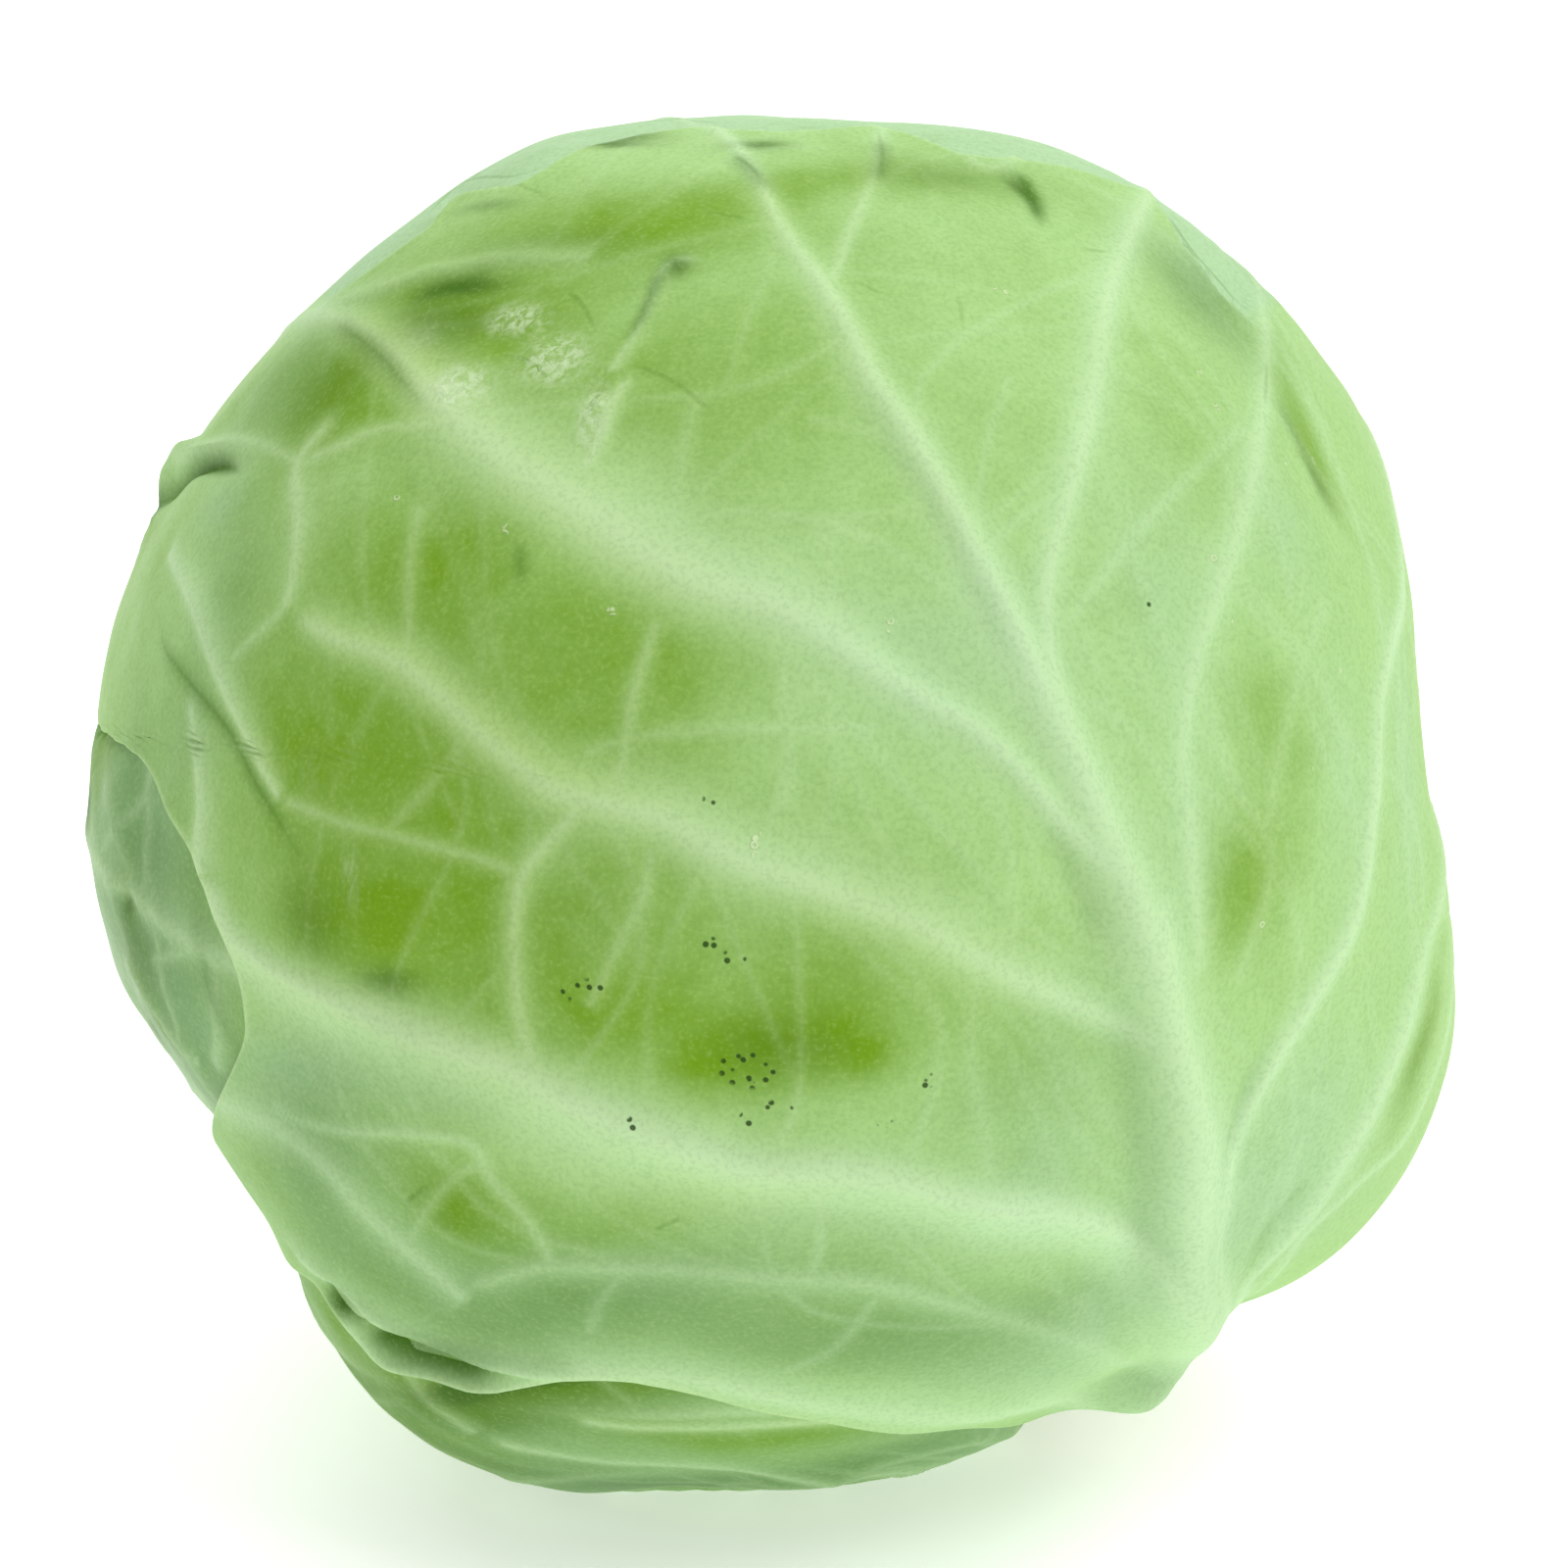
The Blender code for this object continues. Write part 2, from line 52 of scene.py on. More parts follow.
# The head as a whole, as in the solids
HEAD_RADIUS = 90 * MM
FRONT_RAISED = 20.0
SPOT_PRESSED = 2.2 * MM
LUMPS = (
    (-27, 88, 7.0 * MM, 16),
    (-117, 85, 6.5 * MM, 13),
    (-148, 88, -7.4 * MM, 10),
    (-168, 88, 2.0 * MM, 12),
    (58, 88, 4.5 * MM, 15),
    (3, 88, -8.0 * MM, 10),
    (133, 88, -0.4 * MM, 10),
    (-53, 88, -5.0 * MM, 10),
    (109, 88, 2.4 * MM, 8),
    (32, 88, 2.0 * MM, 8),
    (15, 88, -1.4 * MM, 6),
    (-42, 88, 2.6 * MM, 7),
    (-176, 88, -1.6 * MM, 7),
)
STALK_ROLL = 32.4
STALK_TURNED_BACK = 9.8
STALK_CUT_AT = 84 * MM
STALK_RADIUS = 13.5 * MM

# Leaves lie closer to each other here than in the solids
BLADE_THICKNESS = 0.8 * MM
LAYER = 1.15 * MM
COVER_HOLD = 2.5 * MM
COVER_FALL = 34 * MM
RELIEF_FALL = 7 * MM
RIM_TURNED = 7 * MM  # how far the blade's rim is carried back on its inner side

# The front view: its frame, and where the head's centre is in it
FRAME_SIDE = 1600
HEAD_IN_FRAME = (790.0, 815.0)
FRAME_PER_MM = 7.65
VIEW_DISTANCE = 800 * MM
SENSOR = 36.0

# Mesh
FRONT_GRID = 300
LEAF_GRID = 205
HEART_GRID = 90
MIDDLE_DENSER = 0.22  # how much closer a leaf's mesh is at its middle

# How a leaf stands off near its edge, but not near the stalk
EDGE_BAND = 20 * MM
EDGE_SPOT_BAND = 9 * MM
HELD_AT_STALK = 24.0
HELD_FALL = 16.0

# The step down to the second blade beyond the front leaf's upper edge
STEP_DOWN = 0.8 * MM
STEP_RAISED = 0.3 * MM
STEP_FORGOTTEN = 14 * MM
STEP_ENDS = 3.0

# The heart and the stalk's cut end
HEART_SUNK = 2.2 * MM
HEART_LEAF_STEP = 1.2 * MM
HEART_LEAF_AZIMUTHS = (40, 165, 280)
STALK_SIDES = 180
CUT_ROUNDED = 0.9 * MM
CUT_DISHED = 0.8 * MM
SAW_MARKS = 0.25 * MM
STALK_RIBBED = 0.35 * MM
STALK_FLARE = 1.2 * MM
STALK_SHOWN = 16 * MM

# The stage, in metres
FLOOR_HALF_WIDTH = 3.5
FLOOR_FRONT = -2.2
FLOOR_FLAT_TO = 1.2
FLOOR_CURVE = 1.0
FLOOR_TOP = 3.2
FLOOR_GLOW = 0.42
WORLD_STRENGTH = 0.42
# Lights: direction (right, up, out of the front view), distance, size, power
LIGHTS = {
    "key": ((0.55, 0.80, 0.60), 1.7, 1.3, 17.4),
    "overhead": ((-0.42, 0.90, 0.1), 1.6, 0.9, 7),
}


# Directions

def front_axes():
    raised = math.radians(FRONT_RAISED)
    right = np.array((1.0, 0.0, 0.0))
    up = np.array((0.0, math.sin(raised), math.cos(raised)))
    return right, up, np.cross(right, up)


RIGHT, UP, OUT = front_axes()


def stalk_axes():
    roll = math.radians(STALK_ROLL)
    back = math.radians(STALK_TURNED_BACK)
    in_view = math.sin(roll) * RIGHT - math.cos(roll) * UP
    stalk = math.cos(back) * in_view - math.sin(back) * OUT
    across = math.cos(roll) * RIGHT + math.sin(roll) * UP
    front = math.sin(back) * in_view + math.cos(back) * OUT
    return stalk, front, across


STALK, STALK_FRONT, STALK_ACROSS = stalk_axes()


def normalise(vectors):
    return vectors / np.linalg.norm(vectors, axis=-1, keepdims=True)


def chart_to_direction(axes, chart):
    right, up, out = axes
    flat = np.radians(chart)
    arc = np.linalg.norm(flat, axis=-1, keepdims=True)
    side = flat / np.maximum(arc, 1e-9)
    return np.cos(arc) * out + np.sin(arc) * (side[..., :1] * right + side[..., 1:] * up)


def direction_to_polar(axes, directions):
    right, up, out = axes
    arc = np.degrees(np.arccos(np.clip(directions @ out, -1, 1)))
    return np.degrees(np.arctan2(directions @ up, directions @ right)), arc


def polar(angle, arc):
    angle = np.radians(angle)
    return np.stack((arc * np.cos(angle), arc * np.sin(angle)), axis=-1)


def smooth_step(x):
    x = np.clip(x, 0, 1)
    return x * x * (3 - 2 * x)


def bell(x):
    return np.exp(-x * x)


def in_metres(values):
    return tuple(v * MM for v in values)


# The head's own surface

def head_radius(directions):
    radius = np.full(directions.shape[:-1], HEAD_RADIUS)
    for angle, arc, height, width in LUMPS:
        middle = chart_to_direction((RIGHT, UP, OUT), polar(angle, arc))
        off = np.degrees(np.arccos(np.clip(directions @ middle, -1, 1)))
        radius = radius + height * np.exp(-0.5 * (off / width) ** 2)
    return radius


CENTRE_HEIGHT = float(head_radius(np.array((0.0, 0.0, -1.0)))) - SPOT_PRESSED
CENTRE = np.array((0.0, 0.0, CENTRE_HEIGHT))


def place(directions, radius, over_table):
    down = np.maximum(-directions[..., 2], 1e-6)
    radius = np.minimum(radius, (CENTRE_HEIGHT - over_table) / down)
    return CENTRE + radius[..., None] * directions


def seen(places):
    """Directions from the head's centre to what the front view shows at these frame places."""
    off = (np.array(places, float).reshape(-1, 2) - HEAD_IN_FRAME) / FRAME_PER_MM * MM
    eye = VIEW_DISTANCE * OUT
    rays = normalise(off[:, :1] * RIGHT - off[:, 1:] * UP - eye)
    radius = np.full(len(off), HEAD_RADIUS)
    for _ in range(12):
        near = -(rays @ eye)
        gap = near**2 - VIEW_DISTANCE**2 + radius**2
        points = eye + (near - np.sqrt(np.maximum(gap, 0)))[:, None] * rays
        directions = normalise(points)
        radius = head_radius(directions)
    return directions


def ripple(directions, seed, waves, terms=14):
    """A smooth irregular field of about -1 to 1, with so many waves round the head."""
    chosen = np.random.default_rng(seed)
    total = 0
    for _ in range(terms):
        push = chosen.normal(size=3)
        push = push / np.linalg.norm(push) * waves * chosen.uniform(0.6, 1.5)
        total = total + np.sin(directions @ push + chosen.uniform(0, 2 * math.pi))
    return total / math.sqrt(terms)


# Lines on the head

@dataclass
class Line:
    """A rib (height above 0) or a groove (below 0) along a path of unit directions.

    height and half_width have values at even shares of the way. lean is how much steeper its right
    flank is than its left, seen from outside along the path. tone is how pale a rib's crest is, or
    how dark a groove. A thin line is a crease too narrow for the mesh.
    """

    path: np.ndarray
    height: tuple
    half_width: tuple
    lean: float = 0.0
    tone: float = 0.0
    thin: bool = False


def smooth_path(directions, step=1.4 * MM):
    """A curve through the directions, in even small steps."""
    p = np.vstack((2 * directions[0] - directions[1], directions, 2 * directions[-1] - directions[-2]))
    points = []
    for k in range(1, len(p) - 2):
        before, here, there, after = p[k - 1 : k + 3]
        count = max(2, math.ceil(np.linalg.norm(there - here) * HEAD_RADIUS / step))
        t = (np.arange(count) / count)[:, None]
        points.append(
            here
            + 0.5 * t * (there - before)
            + t**2 * (before - 2.5 * here + 2 * there - 0.5 * after)
            + t**3 * (1.5 * (here - there) + 0.5 * (after - before))
        )
    return normalise(np.vstack(points + [p[-2:-1]]))


def beside_path(path, directions, within):
    """Distance to the path with its side (+ is left), and share of the way, where it's near."""
    middle = path.mean(axis=0)
    spread = np.linalg.norm(path - middle, axis=1).max() + within / HEAD_RADIUS
    close = np.flatnonzero(np.linalg.norm(directions - middle, axis=-1) < spread)
    points = directions[close]
    best = np.full(len(points), 1e9)
    side = np.ones(len(points))
    share = np.zeros(len(points))
    for k in range(len(path) - 1):
        step = path[k + 1] - path[k]
        length = step @ step
        off = points - path[k]
        t = np.clip(off @ step / length, 0, 1)
        off = off - t[:, None] * step
        distance = np.einsum("ij,ij->i", off, off)
        nearer = distance < best
        best[nearer] = distance[nearer]
        side[nearer] = np.sign(off[nearer] @ np.cross(path[k], step))
        share[nearer] = (k + t[nearer]) / (len(path) - 1)
    distance = np.sqrt(best) * HEAD_RADIUS
    near = distance < within
    return close[near], distance[near] * np.where(side[near] < 0, -1, 1), share[near]


def along(values, share):
    return np.interp(share, np.linspace(0, 1, len(values)), values)


def end_fade(share, first, last):
    """0 at a free end of a line, over these shares of its length."""
    fade = np.ones_like(share)
    if first:
        fade = fade * smooth_step(share / first)
    if last:
        fade = fade * smooth_step((1 - share) / last)
    return fade


def flank_width(distance, half_width, lean):
    width = half_width * np.where(distance > 0, 1 + 0.8 * max(lean, 0), 1 + 0.8 * max(-lean, 0))
    return width * np.where(distance > 0, 1 - 0.45 * max(-lean, 0), 1 - 0.45 * max(lean, 0))


def flank(distance, half_width, lean):
    """Height of a rib's section: rounded on top and drawn out at its feet."""
    x = distance / flank_width(distance, half_width, lean)
    return 0.72 * bell(x) + 0.28 * bell(x / 2.2)


def line_fields(lines, directions):
    """Relief, how pale ribs are with a painted highlight on their crests, how dark grooves are in painted
    shade, and the nearest crease.
    """
    count = len(directions)
    fields = {name: np.zeros(count) for name in ("pale", "halo", "crest", "shade", "crease_strength")}
    fields["crease"] = np.full(count, 6 * MM)
    ribs, grooves = np.zeros(count), np.zeros(count)
    for line in lines:
        within = 4.5 * max(line.half_width) + 4 * MM
        index, distance, share = beside_path(line.path, directions, within)
        if not len(index):
            continue
        half = along(line.half_width, share)
        width = flank_width(distance, half, line.lean)
        raised = along(line.height, share) * flank(distance, half, line.lean)
        if line.thin:
            nearer = np.abs(distance) < np.abs(fields["crease"][index])
            fields["crease"][index[nearer]] = distance[nearer]
            faded = line.tone * end_fade(share, 0.25, 0.35)
            keep_largest(fields["crease_strength"], index, faded * bell(distance / (1.6 * MM)))
        elif max(line.height) > 0:
            tone = line.tone * end_fade(share, 0.0, 0.04)
            breadth = tone * smooth_step(half / (2.2 * MM))
            ribs[index] += np.maximum(raised, 0) ** 3
            keep_largest(fields["pale"], index, tone * bell(distance / width / 1.5))
            keep_largest(fields["halo"], index, breadth * bell(distance / (1.6 * width + 1.2 * MM)))
            # The crest's paleness is a painted highlight along the top of the rib
            keep_largest(fields["crest"], index, tone * bell(distance / half / 0.65))
        else:
            grooves[index] += raised
            faded = line.tone * end_fade(share, 0.25, 0.35)
            keep_largest(fields["shade"], index, faded * bell(distance / half / 1.1))
    fields["relief"] = np.cbrt(ribs) + grooves
    return fields


def joined_fields(first, second, share_of_first):
    """Two sets of line fields as one, with the first fainter where its share is low."""
    fields = {name: np.maximum(first[name] * share_of_first, second[name]) for name in first}
    fields["relief"] = first["relief"] * share_of_first + second["relief"]
    nearer = np.abs(first["crease"]) < np.abs(second["crease"])
    fields["crease"] = np.where(nearer, first["crease"], second["crease"])
    return fields


def keep_largest(values, index, offered):
    values[index] = np.maximum(values[index], offered)


# What the front leaf carries, as places in the front view's frame

# Midrib: half width and height from its base to its tip
MIDRIB_PLACES = (
    (1176, 1436), (1192, 1370), (1203, 1300), (1206, 1240), (1205, 1180), (1199, 1110), (1188, 1050),
    (1172, 985), (1150, 925), (1118, 840), (1085, 762), (1043, 668), (1003, 590), (962, 513),
    (920, 437), (890, 393), (868, 345), (835, 285), (800, 238), (775, 190), (745, 147), (722, 132),
)
MIDRIB_HALF_WIDTHS = in_metres((5.6, 5.0, 4.5, 4.3, 3.6, 3.1, 2.7, 2.3, 1.9, 1.5, 1.1, 0.8))
MIDRIB_HEIGHTS = in_metres((4.2, 4.6, 4.6, 4.3, 3.6, 2.9, 2.5, 2.1, 1.5, 1.1, 0.7, 0.4))

# Side ribs from the midrib outwards: places, heights, half widths, lean, paleness
SIDE_RIBS = (
    # left, from the tip down
    (
        ((1148, 915), (1118, 880), (1083, 843), (1052, 803), (1020, 768), (985, 738), (940, 713),
         (900, 688), (860, 660), (820, 635), (782, 616), (740, 603), (700, 588), (650, 555), (600, 520),
         (560, 497), (525, 475), (490, 447), (458, 420), (430, 392), (405, 362), (375, 338), (328, 322)),
        (1.5, 1.3, 1.1, 0.8, 0.6, 0.55, 0.6, 0.5), (1.4, 1.3, 1.5, 2.6, 3.6, 3.0, 2.2, 1.5), -0.3, 0.85,
    ),
    (
        ((1172, 1062), (1130, 1040), (1062, 1010), (1000, 980), (958, 955), (925, 938), (880, 922),
         (840, 905), (800, 893), (758, 879), (718, 858), (680, 836), (640, 825), (600, 816), (562, 803),
         (528, 778), (490, 748), (450, 711), (412, 680), (378, 663), (345, 652), (300, 625)),
        (0.3, 0.5, 0.6, 0.7, 0.8, 0.7, 0.6, 0.4), (1.6, 1.8, 2.2, 2.2, 2.1, 1.8, 1.6, 1.1), -0.3, 0.75,
    ),
    (
        ((1196, 1318), (1170, 1277), (1140, 1252), (1100, 1238), (1050, 1230), (1000, 1223), (950, 1210),
         (900, 1197), (850, 1192), (800, 1193), (760, 1188), (718, 1174), (680, 1160), (640, 1146),
         (580, 1121), (522, 1088), (470, 1071), (420, 1052), (380, 1033), (338, 1015), (300, 998),
         (268, 979), (240, 952), (222, 915), (207, 880)),
        (1.6, 1.7, 1.6, 1.5, 1.5, 1.4, 1.2, 0.8), (1.9, 2.2, 2.7, 3.1, 3.2, 2.8, 2.1, 1.4), 0.9, 0.9,
    ),
    (
        ((1188, 1392), (1150, 1384), (1100, 1366), (1050, 1354), (1000, 1340), (950, 1325), (900, 1313),
         (830, 1305), (760, 1300), (700, 1296), (640, 1294), (560, 1290), (510, 1302), (470, 1318)),
        (0.8, 0.6, 0.4, 0.35, 0.4, 0.3), (1.5, 1.6, 1.6, 1.5, 1.6, 1.2), 0.3, 0.4,
    ),
    (
        ((178, 566), (188, 586), (205, 620), (215, 650), (226, 682), (240, 722), (262, 770), (290, 820)),
        (0.4, 0.9, 0.9, 0.5, 0.1), (0.8, 1.3, 1.3, 1.0, 0.8), 0.4, 0.85,
    ),
    (
        ((196, 722), (203, 770), (206, 820), (204, 860), (207, 895)),
        (0.2, 0.6, 0.8, 0.8), (0.9, 1.2, 1.3, 1.4), 0.3, 0.7,
    ),
    # right, from the tip down
    (
        ((1102, 790), (1085, 735), (1074, 690), (1067, 640), (1066, 605), (1073, 565), (1082, 530),
         (1091, 498), (1101, 458), (1112, 420), (1119, 382), (1123, 342), (1131, 300), (1144, 262),
         (1155, 235), (1172, 196)),
        (1.1, 0.9, 0.7, 0.6, 0.5, 0.6, 0.6, 0.6), (1.5, 1.2, 1.3, 1.5, 1.7, 1.7, 1.5, 1.1), 0.2, 0.7,
    ),
    (
        ((1222, 985), (1216, 900), (1211, 820), (1208, 775), (1212, 715), (1224, 662), (1239, 620),
         (1247, 588), (1260, 550), (1271, 498), (1280, 450), (1286, 412), (1290, 340), (1288, 300)),
        (0.05, 0.2, 0.5, 0.6, 0.5, 0.4, 0.3), (1.2, 1.3, 1.3, 1.5, 1.5, 1.3, 1.1), 0.1, 0.55,
    ),
    (
        ((1238, 1262), (1249, 1200), (1260, 1152), (1277, 1117), (1310, 1062), (1344, 1002), (1369, 952),
         (1380, 912), (1391, 850), (1400, 795), (1404, 740), (1411, 680), (1428, 605), (1424, 560)),
        (0.9, 0.9, 0.9, 1.0, 1.1, 0.8, 0.5), (1.2, 1.2, 1.3, 1.3, 1.3, 1.3, 1.0), -0.4, 0.8,
    ),
    (
        ((1240, 1342), (1259, 1312), (1281, 1290), (1311, 1259), (1341, 1221), (1362, 1182), (1386, 1140),
         (1407, 1098), (1429, 1042), (1443, 995), (1456, 948), (1467, 870)),
        (0.9, 1.0, 1.1, 1.2, 1.1, 0.7), (1.2, 1.4, 1.6, 1.6, 1.5, 1.1), -0.8, 0.7,
    ),
    (
        ((1256, 1345), (1300, 1300), (1340, 1271), (1400, 1216), (1440, 1168), (1466, 1110)),
        (0.5, 0.7, 0.6, 0.3), (1.1, 1.2, 1.2, 1.0), -0.2, 0.5,
    ),
)

# How far ribs go on past the head's outline, in degrees, and ribs with faint ones between them
RUN_ON = 30
FAINT_BETWEEN = ((1, 2), (2, 3), (3, 4), (0, 1), (0, 7), (7, 8), (8, 9), (9, 10), (10, 11))
FAINT_SEED = 41

# Small ribs that join the side ribs: places, height, half width, paleness
SMALL_RIBS = (
    (((330, 440), (312, 460), (304, 482), (308, 515), (308, 560), (302, 600), (292, 624)), 0.6, 1.1, 0.55),
    (((292, 622), (280, 634), (262, 650), (240, 672)), 0.35, 0.8, 0.4),
    (((318, 470), (350, 458), (390, 441), (430, 437), (470, 437)), 0.45, 0.9, 0.45),
    (((200, 458), (230, 447), (262, 451), (290, 464), (312, 478)), 0.4, 0.8, 0.45),
    (((428, 520), (421, 560), (416, 620), (415, 650), (409, 690)), 0.4, 0.9, 0.35),
    (((296, 818), (340, 835), (380, 846), (420, 856), (462, 868), (500, 879), (530, 892)), 0.4, 0.8, 0.4),
    (((592, 826), (570, 850), (545, 877), (532, 900), (525, 950), (526, 1000), (530, 1042), (545, 1090)),
     0.7, 1.1, 0.6),
    (((668, 640), (656, 680), (646, 720), (641, 762), (628, 812)), 0.35, 0.8, 0.4),
    (((792, 640), (800, 690), (803, 730), (805, 775), (800, 830)), 0.25, 0.8, 0.25),
    (((600, 768), (640, 756), (700, 746), (760, 744), (820, 743), (900, 746)), 0.3, 0.7, 0.3),
    (((664, 872), (661, 905), (650, 932), (634, 962), (618, 995), (600, 1030)), 0.35, 0.8, 0.35),
    (((1228, 700), (1260, 800), (1288, 860), (1281, 940), (1262, 1010)), 0.25, 1.0, 0.25),
    (((1345, 620), (1325, 692), (1300, 790), (1288, 850)), 0.25, 0.9, 0.25),
    (((1262, 440), (1200, 500), (1160, 542), (1130, 582), (1085, 640)), 0.3, 0.8, 0.3),
    (((1008, 560), (1040, 530), (1090, 500)), 0.25, 0.8, 0.25),
    (((280, 1130), (320, 1150), (400, 1156), (440, 1158), (482, 1166), (502, 1200), (538, 1240),
      (556, 1270), (566, 1296)), 0.5, 0.9, 0.45),
    (((404, 1290), (440, 1230), (470, 1196), (500, 1188)), 0.3, 0.8, 0.3),
    (((832, 1205), (838, 1250), (832, 1292), (820, 1310)), 0.35, 0.8, 0.35),
    (((215, 1118), (260, 1140), (300, 1162), (340, 1197), (370, 1236), (400, 1266), (440, 1300),
      (482, 1332)), 0.8, 2.4, 0.55),
    (((903, 1312), (880, 1345), (850, 1375), (800, 1400)), 0.25, 0.9, 0.25),
    (((640, 1295), (612, 1330), (600, 1365)), 0.25, 0.9, 0.25),
    (((900, 128), (896, 160), (888, 192), (866, 240), (846, 292)), 0.45, 0.8, 0.5),
    (((985, 545), (940, 470), (880, 440), (820, 428)), 0.2, 0.8, 0.2),
    (((1030, 640), (1000, 560), (998, 500), (1010, 440), (1032, 380)), 0.2, 0.7, 0.2),
    (((700, 590), (690, 520), (700, 440), (716, 400)), 0.2, 0.9, 0.2),
    (((840, 648), (850, 590), (838, 540)), 0.2, 0.8, 0.2),
    (((480, 745), (440, 800), (400, 846)), 0.25, 0.9, 0.25),
    (((1000, 982), (990, 1060), (1000, 1140), (1010, 1222)), 0.2, 0.9, 0.2),
)

# Folds: broad ridges with one steep side. Places, height, half width, lean, paleness
FOLDS = (
    (((340, 312), (372, 302), (400, 294), (430, 282), (462, 275), (500, 267), (550, 264), (610, 264)),
     0.9, 1.2, 0.9, 0.35),
    (((702, 262), (684, 268), (671, 286), (661, 314), (646, 345), (622, 380)), 0.7, 0.6, 0.5, 0.6),
    (((636, 392), (622, 418), (610, 448), (594, 478)), 0.6, 0.7, 0.5, 0.7),
    (((978, 156), (1000, 172), (1026, 172), (1040, 160)), 0.6, 0.8, 0.4, 0.5),
    (((206, 452), (186, 463), (168, 482), (156, 502), (146, 530)), 2.4, 1.7, 0.9, 0.25),
    (((262, 452), (236, 455), (206, 459), (184, 470)), 1.2, 1.3, 0.9, 0.35),
    (((430, 432), (470, 452), (520, 486), (575, 530), (640, 580)), 0.4, 3.0, 0.5, 0.2),
    (((306, 1286), (330, 1304), (352, 1320), (391, 1347), (436, 1370), (480, 1384), (530, 1392),
      (580, 1398), (640, 1404)), 1.6, 1.3, 0.7, 0.75),
    (((360, 1352), (386, 1376), (413, 1392), (447, 1405), (480, 1413), (513, 1413), (547, 1407),
      (590, 1402)), 1.1, 1.0, 0.5, 0.8),
    (((600, 1396), (700, 1408), (800, 1424), (900, 1436), (1000, 1440), (1060, 1430), (1112, 1424)),
     0.7, 2.6, 0.3, 0.65),
    (((1150, 1430), (1120, 1380), (1100, 1320)), 0.5, 3.0, 0.0, 0.2),
    (((1178, 930), (1194, 1020), (1213, 1106), (1228, 1185), (1236, 1246), (1236, 1301), (1230, 1350)),
     0.8, 1.3, 0.5, 0.7),
)

# Grooves that have a crease along them
LEFT_GROOVE = (
    (165, 620), (170, 660), (190, 690), (230, 742), (262, 800), (290, 846), (312, 880), (326, 912),
)
UPPER_LEFT_GROOVE = ((336, 326), (366, 346), (392, 368), (420, 402), (446, 432))
FOLD_GROOVE = ((246, 482), (225, 472), (200, 474), (180, 492), (158, 518), (149, 534))

# Grooves: places, depth, half width, darkness of the shade painted in them
GROOVES = (
    (LEFT_GROOVE, 0.2, 1.2, 0.45),
    (UPPER_LEFT_GROOVE, 0.15, 1.2, 0.5),
    (((510, 276), (470, 287), (440, 298), (405, 314)), 0.3, 1.5, 0.6),
    (((1030, 172), (1046, 186), (1057, 210), (1062, 238)), 0.3, 1.1, 0.9),
    (((1296, 1058), (1272, 1108), (1256, 1150), (1246, 1192)), 0.6, 1.2, 0.15),
    (((1342, 1196), (1318, 1230), (1290, 1262), (1262, 1300)), 0.5, 1.3, 0.15),
    (FOLD_GROOVE, 2.4, 1.3, 1.0),
    (((500, 1122), (560, 1154), (650, 1188), (740, 1218), (820, 1230), (900, 1238), (980, 1254),
      (1062, 1270), (1120, 1288)), 0.5, 3.0, 0.0),
    (((1130, 980), (1150, 1080), (1163, 1200), (1170, 1290), (1158, 1360)), 0.9, 2.6, 0.26),
    (((1040, 700), (1000, 610), (945, 514), (900, 455), (850, 375)), 0.3, 1.6, 0.12),
    (((1060, 832), (1092, 892), (1128, 975)), 0.5, 1.6, 0.2),
    (((330, 1308), (346, 1322), (360, 1335), (374, 1349)), 2.6, 1.4, 1.0),
    (((384, 1352), (408, 1366), (440, 1381), (474, 1392), (506, 1397)), 3.0, 2.0, 1.0),
    (((680, 270), (668, 294), (654, 324), (638, 354)), 0.15, 0.9, 0.6),
    (((745, 160), (768, 180), (790, 206)), 0.2, 1.2, 0.5),
    (((898, 142), (900, 165), (890, 196)), 0.2, 1.2, 0.5),
    (((530, 552), (533, 580), (536, 600)), 0.1, 0.8, 0.5),
    (((1295, 402), (1320, 440), (1345, 490), (1352, 530)), 0.2, 1.4, 0.4),
)

# Creases: places, darkness of the shade painted along them
CREASES = (
    (((573, 290), (590, 305), (600, 322), (611, 346)), 0.5),
    (((630, 373), (652, 374), (686, 389), (712, 408), (742, 432)), 0.5),
    (((622, 384), (607, 408), (598, 424), (588, 442)), 0.7),
    (((505, 360), (530, 365), (552, 379), (572, 399)), 0.4),
    (((500, 195), (545, 197), (566, 208)), 0.4),
    (((718, 216), (740, 220), (764, 223)), 0.5),
    (((873, 285), (888, 292), (902, 299)), 0.4),
    (((977, 300), (981, 320), (982, 336)), 0.4),
    (((1104, 254), (1118, 256), (1132, 258)), 0.5),
    (((318, 312), (345, 285), (380, 252), (425, 215)), 0.8),
    (((430, 226), (470, 190), (520, 172), (575, 150)), 0.6),
    (((470, 176), (492, 172), (510, 166)), 0.8),
    (((640, 126), (690, 122), (740, 124)), 0.6),
    (((1190, 210), (1225, 250), (1262, 300), (1285, 318)), 0.7),
    (((1216, 246), (1236, 286), (1262, 322)), 0.5),
    (((775, 190), (768, 178), (745, 160)), 0.6),
    (((895, 135), (900, 160), (896, 190)), 0.5),
    (((442, 1204), (426, 1216), (410, 1230)), 0.6),
    (((664, 1258), (682, 1250), (700, 1243)), 0.5),
    (((1291, 368), (1289, 395), (1285, 422)), 0.5),
    (LEFT_GROOVE, 0.5),
    (UPPER_LEFT_GROOVE, 0.3),
    (FOLD_GROOVE, 1.0),
)

